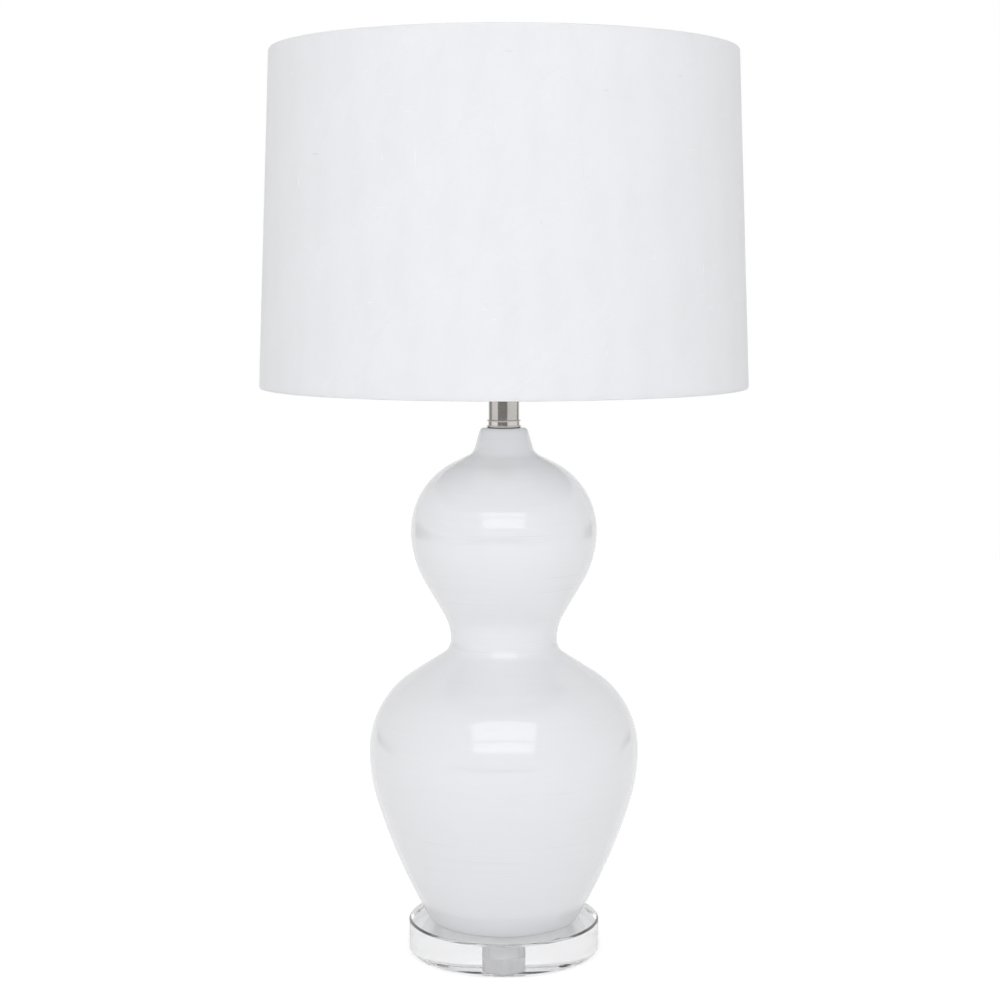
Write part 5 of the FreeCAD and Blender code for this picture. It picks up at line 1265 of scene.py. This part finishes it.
def build_slubs(sizes):
    """Thick places in the yarns, standing a little proud of the cloth."""
    margin = 2
    low, high = SHADE_LOW + margin, SHADE_HIGH - margin
    slubs = new_piece("linen_slubs", [(0, 0, 0)], [])
    run_tree(tree_from(slub_tree), slubs, "slub_yarn", {
        "Count": sizes.slub_count, "Width": TURN * SHADE_BOTTOM * MM, "Height": (high - low) * MM,
        "Bottom Radius": shade_radius(low) * MM, "Top Radius": shade_radius(high) * MM, "Bottom": low * MM,
        "Thickness": 0.7 * MM, "Seed": sizes.seed})
    return settle(tidy_mesh(slubs), "shade", "white_linen")


def build_lap():
    """The cloth's lapped ends: a narrow strip down the shade's rear, glued over the cover."""
    low, high = SHADE_LOW + 0.8, SHADE_HIGH - 0.8
    width, thick, glue, columns, rows = 12.0, 0.45, 0.05, 8, 60
    points, faces = [], []
    for row in range(rows + 1):
        height = low + (high - low) * row / rows
        radius = shade_radius(height) + glue
        for column in range(columns + 1):
            angle = math.pi / 2 + (column / columns - 0.5) * width / SHADE_TOP
            points.append(Vector((radius * math.cos(angle), radius * math.sin(angle), height)) * MM)
    for row in range(rows):
        for column in range(columns):
            first = row * (columns + 1) + column
            faces.append((first, first + 1, first + columns + 2, first + columns + 1))
    strip = new_piece("cover_lap", points, [], faces)
    strip.data.materials.append(MATERIALS["white_linen"])
    layer = strip.data.uv_layers.new(name="UVMap")
    for loop in strip.data.loops:
        spot = points[loop.vertex_index]
        layer.data[loop.index].uv = (math.atan2(spot.y, spot.x) * SHADE_BOTTOM * MM, spot.z)
    wall = strip.modifiers.new("cloth", "SOLIDIFY")
    wall.thickness = thick * MM
    wall.offset = -1
    soften_edges(strip, thick * 0.4, 30)
    return settle(tidy_mesh(keep_result(strip)), "shade", "white_linen")


def build_lining():
    low, high, gap = SHADE_LOW + 0.6, SHADE_HIGH - 0.6, 0.02
    inner, outer = CLOTH + LINING, CLOTH + gap
    outline = [on_shade(low, inner), on_shade(low, outer), on_shade(high, outer), on_shade(high, inner)]
    fit_turned("stiff_lining", "shade_liner", "shade", "white_lining", outline, 360)


def build_frame_wires():
    """The two rings and the spider that hangs the shade on the stud."""
    middles = {}
    for name, node in (("top_wire_ring", "shade_top_ring"), ("bottom_wire_ring", "shade_bottom_ring")):
        middles[node] = sum(span(node)) / 2
        outline = circle_outline(reach(node) - RING_WIRE, middles[node], RING_WIRE)
        fit_turned(name, node, "shade", "white_wire", outline, 300)
    hub_low = span("harp_swivel_stud")[1] - POST_LENGTH
    hub_thick, hub, hole = 1.5, 14.0, 5.6
    arm, weld, bend, arm_start = 1.8, 0.3, 7.0, 11.5
    end = reach("shade_top_ring") - 2 * RING_WIRE - arm + weld
    level = hub_low + hub_thick / 2
    path = ([Vector((arm_start, level))]
            + arc_points(Vector((end - bend, level + bend)), bend, -math.pi / 2, 0, 0.8)
            + [Vector((end, middles["shade_top_ring"]))])
    arms = repeated(wire("spider_arms", path, arm, "white_wire"), 3, "white_wire")
    plate = turned("spider_plate", tube_outline(hole, hub, hub_low, hub_low + hub_thick, 0.4), "white_wire")
    settle(joined("wire_spider", plate, arms), "shade", "white_wire", "shade_spider")


def build_shade(sizes):
    """The whole shade; the linen is one sheet, cut as long as the cone's middle girth."""
    cover = build_cover(sizes)
    slubs = build_slubs(sizes)
    lap = build_lap()
    build_lining()
    build_frame_wires()


# ---------------------------------------------------------------- lampholder, switch and bulb

CAP_RADIUS = 13.2


def build_lampholder():
    low, high = span("socket_cap")
    wall, neck, shell, rod_hole = 0.7, 8.0, 19.4, 5.0
    collar, shoulder = low + 6.0, low + 9.0
    fit_turned("holder_cap", "socket_cap", "lamp_base", "polished_nickel", rounded([
        (rod_hole, low, 0.1), (neck, low, 0.5), (neck, collar, 0.8), (shell, shoulder, 2.5),
        (shell, high - 1.0, 0), (shell, high, 0.2), (shell - wall, high, 0.2),
        (shell - wall, shoulder + wall, 1.8), (neck - wall, collar + wall, 0.3),
        (rod_hole, collar + wall, 0.1),
    ], 8), 128)
    fit_eased("grub_screw", "cap_set_screw", "zinc_steel", 0.12)
    fit_eased("switch_block", "socket_body", "black_moulding", 0.3)
    fit_eased("wire_screws", "terminal_screws", "plain_brass", 0.15)
    fit_eased("contact_strip", "centre_contact", "plain_brass", 0.1)


def build_switch():
    """Fluted knob and its shaft, turned upright and then laid to point forward."""
    low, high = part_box("switch_knob")
    start, end = -high.y / MM, -low.y / MM
    lie = Matrix.Translation((0, 0, (low.z + high.z) / 2)) @ Matrix.Rotation(math.pi / 2, 4, "X")
    collar, grip, shaft_radius, socket_end = 5.0, 6.0, 2.0, start + 8.0
    flutes_from, run_in = start + 3.8, 1.2
    outline = divided(rounded([
        (0, socket_end, 0), (shaft_radius, socket_end, 0), (shaft_radius, start, 0.1), (collar, start, 0.4),
        (collar, start + 3.6, 0.3), (grip, start + 4.2, 0.4), (grip, end, 0.9), (0, end, 0),
    ], 6), 0.6, start + 3.5, end)

    def fluted(radius, height):
        """Flutes on the grip's side and end, none on the collar."""
        on_grip = radius > collar + 0.2 and height > flutes_from
        return min(1.0, (height - flutes_from) / run_in) if on_grip else 0.0

    knob = turned("fluted_knob", outline, "black_moulding", 128, {"flute": fluted},
                  flutes=8, flute_depth=0.42 * MM)
    settle(laid(knob, lie), "switch", "black_moulding", "switch_knob")
    low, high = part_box("switch_shaft")
    outline = tube_outline(0, shaft_radius, -high.y / MM, -low.y / MM, 0.2)
    shaft = turned("steel_shaft", outline, "zinc_steel", 40)
    settle(laid(shaft, lie), "switch", "zinc_steel", "switch_shaft")


def build_bulb_cap():
    """Screw cap with its rolled thread, the black insulator and the tip contact."""
    low, high = span("bulb_contact")
    contact = 4.6
    outline = rounded([(0, low, 0), (contact, low, 0.8), (contact, high, 0.1), (0, high, 0)])
    fit_turned("bulb_tip_contact", "bulb_contact", "bulb_tip", "bulb_metal", outline, 48)
    low, high = span("bulb_insulator")
    outline = rounded([(0, low, 0), (contact + 0.05, low, 0.2), (11.6, high, 0), (0, high, 0)])
    fit_turned("black_insulator", "bulb_insulator", "bulb", "black_glass", outline, 64)
    low, high = span("bulb_cap")
    pitch, lead_in = 25.4 / 7, 1.6
    outline = rounded([(0, low, 0), (CAP_RADIUS - lead_in, low, 0.2), (CAP_RADIUS, low + lead_in, 0.3),
                       (CAP_RADIUS, high, 0), (0, high, 0)])
    outline = divided(outline, pitch / 12, low + 1.8, high - 0.01)

    def rolled(radius, height):
        """The rolled thread runs out below and above."""
        ends = min((height - low - 1.2) / 1.5, (high - 2.0 - height) / 1.5)
        return max(0.0, min(1.0, ends)) if radius > CAP_RADIUS - 0.2 else 0.0

    fit_turned("rolled_screw_cap", "bulb_cap", "bulb", "bulb_metal", outline,
               weights={"thread": rolled}, thread_pitch=pitch * MM, thread_depth=0.9 * MM)


def build_bulb_body():
    """Flared housing and frosted globe."""
    low, high = span("bulb_housing")
    flare, rim = 67.6, 28.0
    foot, edge = Vector((CAP_RADIUS, low)), Vector((rim, high))
    run = edge - foot
    outward = Vector((run.y, -run.x)).normalized()
    centre = (foot + edge) / 2 - outward * math.sqrt(flare ** 2 - run.length_squared / 4)
    side = arc_points(centre, flare, direction(centre, foot), direction(centre, edge), 1.5)
    outline = [Vector((0, low))] + side + [Vector((0, high))]
    fit_turned("bulb_body", "bulb_housing", "bulb", "white_plastic", outline)
    low, high = span("bulb_globe")
    ball, wall = 30.0, 1.2
    centre = Vector((0, high - ball))
    starts = [math.asin((low - centre.y) / radius) for radius in (ball, ball - wall)]
    skin = arc_points(centre, ball, starts[0], math.pi / 2, 1.5)
    inside = arc_points(centre, ball - wall, math.pi / 2, starts[1], 2.5)
    skin[-1].x = 0.0
    inside[0].x = 0.0
    fit_turned("frosted_globe", "bulb_globe", "bulb", "frosted_diffuser", skin + inside)


# ---------------------------------------------------------------- stage

def ray_share(tree, *kinds):
    """1 for a ray of any of the given kinds."""
    path = add_node(tree, "ShaderNodeLightPath")
    share = path.outputs[kinds[0]]
    for kind in kinds[1:]:
        share = calculate(tree, "MAXIMUM", share, path.outputs[kind])
    return share


def ramp(tree, given, stops):
    """Grey levels between (place, level) stops."""
    node = add_node(tree, "ShaderNodeValToRGB", {0: given})
    elements = node.color_ramp.elements
    elements.remove(elements[1])
    for number, (place, level) in enumerate(stops):
        element = elements[0] if number == 0 else elements.new(place)
        element.position = place
        element.color = solid(level)
    return node.outputs[0]


def mixed(tree, share, first, second):
    """A shader between two others."""
    return add_node(tree, "ShaderNodeMixShader", {0: share, 1: first, 2: second}).outputs[0]


def shining(tree, kind, strength, colour=(1.0, 1.0, 1.0, 1.0)):
    """A Background or Emission shader."""
    return add_node(tree, "ShaderNode" + kind, {"Color": colour, "Strength": strength}).outputs[0]


# share of a turn, from behind by the left and the camera's side to behind again; and how bright it is there
LOW_STUDIO = (
    (0.0, 0.95), (0.1, 0.95), (0.12, 0.38), (0.2, 0.3), (0.225, 0.75), (0.36, 0.8), (0.378, 0.28),
    (0.56, 0.25), (0.583, 0.72), (0.81, 0.78), (0.835, 0.3), (0.88, 0.38), (0.9, 0.95), (1.0, 0.95))
HIGH_STUDIO = (
    (0.0, 0.95), (0.1, 0.95), (0.12, 0.5), (0.2, 0.5), (0.225, 1.4), (0.36, 1.4), (0.38, 0.06),
    (0.56, 0.05), (0.583, 1.2), (0.81, 1.3), (0.835, 0.5), (0.88, 0.5), (0.9, 0.95), (1.0, 0.95))
STUDIO_CEILING = 0.9


def build_room(studio):
    """Even pale light from all round, a white background, and a studio for glossy surfaces to mirror.

    The mirrored studio has a white backdrop behind, large pale screens at both sides, and is dim where
    the camera stands and between screens and backdrop. Above eye level it is an even pale ceiling.
    """
    world = bpy.data.worlds.new("pale room")
    bpy.context.scene.world = world
    world.use_nodes = True
    tree = world.node_tree
    tree.nodes.clear()
    x, y, height = parted(tree, add_node(tree, "ShaderNodeTexCoord").outputs["Generated"])
    azimuth = calculate(tree, "ARCTAN2", x, product(tree, y, -1.0))
    round_share = calculate(tree, "MULTIPLY_ADD", azimuth, 1 / TURN, 0.5)
    screens = blended(tree, mapped(tree, height, -0.05, -0.042),
                      ramp(tree, round_share, LOW_STUDIO), ramp(tree, round_share, HIGH_STUDIO))
    level = blended(tree, mapped(tree, height, -0.01, 0.01), screens, STUDIO_CEILING)
    room = mixed(tree, ray_share(tree, "Is Glossy Ray"),
                 shining(tree, "Background", studio.ambient), shining(tree, "Background", 1.0, level))
    both = mixed(tree, ray_share(tree, "Is Camera Ray", "Is Transmission Ray"),
                 room, shining(tree, "Background", 1.0))
    add_node(tree, "ShaderNodeOutputWorld", {0: both})


def build_floor(colours, studio):
    """A wide matt disc, lifted to white for the camera and most of it for glossy rays.

    Through the clear base it is an even white, for no lamp shines down through the base.
    """
    radius, sides = 2.4, 96
    corners = [(radius * math.cos(TURN * step / sides), radius * math.sin(TURN * step / sides), 0)
               for step in range(sides)]
    floor = new_piece("studio_floor", corners, [], [tuple(range(sides))])
    material = bpy.data.materials.new("pale floor")
    material.use_nodes = True
    tree = material.node_tree
    tree.nodes.clear()
    matt = add_node(tree, "ShaderNodeBsdfDiffuse", {"Color": solid(tuple(colours.floor))}).outputs[0]
    glow = shining(tree, "Emission", studio.floor_glow)
    lifted = add_node(tree, "ShaderNodeAddShader", {0: matt, 1: glow}).outputs[0]
    glossy = product(tree, ray_share(tree, "Is Glossy Ray"), 0.8)
    rays = calculate(tree, "MAXIMUM", ray_share(tree, "Is Camera Ray"), glossy)
    through = product(tree, ray_share(tree, "Is Transmission Ray"), 0.85)
    whole = mixed(tree, through, mixed(tree, rays, matt, lifted),
                  shining(tree, "Emission", studio.floor_through))
    add_node(tree, "ShaderNodeOutputMaterial", {0: whole})
    floor.data.materials.append(material)


def softbox(name, place, target, width, height, power, mirrored=False, colour=(1.0, 1.0, 1.0)):
    """A rectangular area light that faces a point; it lights matt surfaces or shows in glossy ones."""
    light = bpy.data.lights.new(name, "AREA")
    light.shape = "RECTANGLE"
    light.size, light.size_y = width, height
    light.energy = power
    light.color = colour
    thing = add_object(name, light)
    thing.location = place
    thing.rotation_euler = (Vector(target) - Vector(place)).to_track_quat("-Z", "Y").to_euler()
    thing.visible_camera = False
    thing.visible_glossy = mirrored
    thing.visible_diffuse = not mirrored


def build_lights(studio):
    """Key and fills for the matt surfaces; a softbox of two panels, one over the other, for glossy ones."""
    centre, target = Vector((0, -1.4, 1.31)), Vector((0, 0, 0.25))
    width, height, seam, low_share = 1.66, 1.35, 0.09, 0.36
    forward = (target - centre).normalized()
    rise = Vector((1, 0, 0)).cross(forward).normalized()
    panels = (("upper panel", 1 - low_share, low_share / 2), ("lower panel", low_share, (low_share - 1) / 2))
    for name, share, shift in panels:
        place = centre + rise * shift * height
        tall = height * share - seam / 2
        softbox(name, place, place + forward, width, tall, studio.highlight * share, True)
    middle, daylight, shade_mouth = (0, 0, 0.4), (0.975, 0.985, 1.0), (0, 0, 0.455)
    softbox("key", (0, -2.7, 1.0), middle, 1.8, 1.8, studio.key, colour=daylight)
    softbox("glow from the shade", shade_mouth, (0, 0, 0), 0.26, 0.26, studio.glow)
    for name, x, power in (("left fill", -2.2, studio.side), ("right fill", 2.2, studio.side * 0.8)):
        softbox(name, (x, -0.6, 0.9), middle, 1.5, 1.5, power)


def build_camera(studio):
    camera = bpy.data.cameras.new("photo camera")
    camera.lens = studio.lens
    camera.sensor_width = 36.0
    thing = add_object("photo camera", camera)
    thing.location = (-studio.camera_side, -studio.camera_distance, studio.camera_height)
    thing.rotation_euler = (math.pi / 2 - studio.camera_pitch, 0, 0)
    bpy.context.scene.camera = thing


# ---------------------------------------------------------------- operators

class LAMP_OT_finishes(bpy.types.Operator):
    """Make every finish and paint the frame's nodes"""
    bl_idname = "lamp.finishes"
    bl_label = "Finishes"

    def execute(self, context):
        paint_all(context.scene.lamp_colours, context.scene.lamp_sizes)
        return {"FINISHED"}


class LAMP_OT_base(bpy.types.Operator):
    """Build the clear base, its pads and what clamps it"""
    bl_idname = "lamp.base"
    bl_label = "Clear base"

    def execute(self, context):
        build_clear_base()
        build_pads()
        build_foot_gasket()
        build_fixings()
        build_rod()
        return {"FINISHED"}


class LAMP_OT_gourd(bpy.types.Operator):
    """Build the glazed ceramic body and the bush of its cord inlet"""
    bl_idname = "lamp.gourd"
    bl_label = "Glazed body"

    def execute(self, context):
        build_gourd(context.scene.lamp_sizes)
        build_inlet_bush()
        return {"FINISHED"}


class LAMP_OT_neck(bpy.types.Operator):
    """Build the bright neck"""
    bl_idname = "lamp.neck"
    bl_label = "Bright neck"

    def execute(self, context):
        build_neck()
        return {"FINISHED"}


class LAMP_OT_harp(bpy.types.Operator):
    """Build the harp, its sleeves, the stud and the finial"""
    bl_idname = "lamp.harp"
    bl_label = "Harp and finial"

    def execute(self, context):
        build_harp()
        build_harp_sleeves()
        build_stud()
        build_finial()
        return {"FINISHED"}


class LAMP_OT_shade(bpy.types.Operator):
    """Build the linen shade and its frame"""
    bl_idname = "lamp.shade"
    bl_label = "Linen shade"

    def execute(self, context):
        build_shade(context.scene.lamp_sizes)
        return {"FINISHED"}


class LAMP_OT_lampholder(bpy.types.Operator):
    """Build the lampholder"""
    bl_idname = "lamp.lampholder"
    bl_label = "Lampholder"

    def execute(self, context):
        build_lampholder()
        return {"FINISHED"}


class LAMP_OT_switch(bpy.types.Operator):
    """Build the turn switch"""
    bl_idname = "lamp.switch"
    bl_label = "Turn switch"

    def execute(self, context):
        build_switch()
        return {"FINISHED"}


class LAMP_OT_bulb(bpy.types.Operator):
    """Build the bulb"""
    bl_idname = "lamp.bulb"
    bl_label = "Bulb"

    def execute(self, context):
        build_bulb_cap()
        build_bulb_body()
        return {"FINISHED"}


class LAMP_OT_stage(bpy.types.Operator):
    """Build the floor, the light and the camera"""
    bl_idname = "lamp.stage"
    bl_label = "Stage"

    def execute(self, context):
        scene = context.scene
        scene.view_settings.view_transform = "Standard"
        build_room(scene.lamp_studio)
        build_floor(scene.lamp_colours, scene.lamp_studio)
        build_lights(scene.lamp_studio)
        build_camera(scene.lamp_studio)
        return {"FINISHED"}


class LAMP_PT_panel(bpy.types.Panel):
    """Steps and settings of the lamp"""
    bl_idname = "LAMP_PT_panel"
    bl_label = "Double gourd lamp"
    bl_space_type = "VIEW_3D"
    bl_region_type = "UI"
    bl_category = "Lamp"

    def draw(self, context):
        for operator in OPERATORS:
            self.layout.operator(operator.bl_idname)
        for name in PROPERTY_GROUPS:
            group = getattr(context.scene, name)
            box = self.layout.box()
            for key in group.bl_rna.properties.keys():
                if key not in ("rna_type", "name"):
                    box.prop(group, key)


PROPERTY_GROUPS = {"lamp_sizes": LampSizes, "lamp_colours": LampColours, "lamp_studio": LampStudio}
OPERATORS = (LAMP_OT_finishes, LAMP_OT_base, LAMP_OT_gourd, LAMP_OT_neck, LAMP_OT_harp, LAMP_OT_shade,
             LAMP_OT_lampholder, LAMP_OT_switch, LAMP_OT_bulb, LAMP_OT_stage)


def register():
    for group in PROPERTY_GROUPS.values():
        bpy.utils.register_class(group)
    for operator in OPERATORS:
        bpy.utils.register_class(operator)
    bpy.utils.register_class(LAMP_PT_panel)
    for name, group in PROPERTY_GROUPS.items():
        setattr(bpy.types.Scene, name, bpy.props.PointerProperty(type=group))


def unregister():
    for name in PROPERTY_GROUPS:
        delattr(bpy.types.Scene, name)
    bpy.utils.unregister_class(LAMP_PT_panel)
    for operator in reversed(OPERATORS):
        bpy.utils.unregister_class(operator)
    for group in reversed(PROPERTY_GROUPS.values()):
        bpy.utils.unregister_class(group)


def main():
    register()
    bpy.ops.lamp.finishes()
    bpy.ops.lamp.base()
    bpy.ops.lamp.gourd()
    bpy.ops.lamp.neck()
    bpy.ops.lamp.harp()
    bpy.ops.lamp.shade()
    bpy.ops.lamp.lampholder()
    bpy.ops.lamp.switch()
    bpy.ops.lamp.bulb()
    bpy.ops.lamp.stage()


if __name__ == "__main__":
    main()
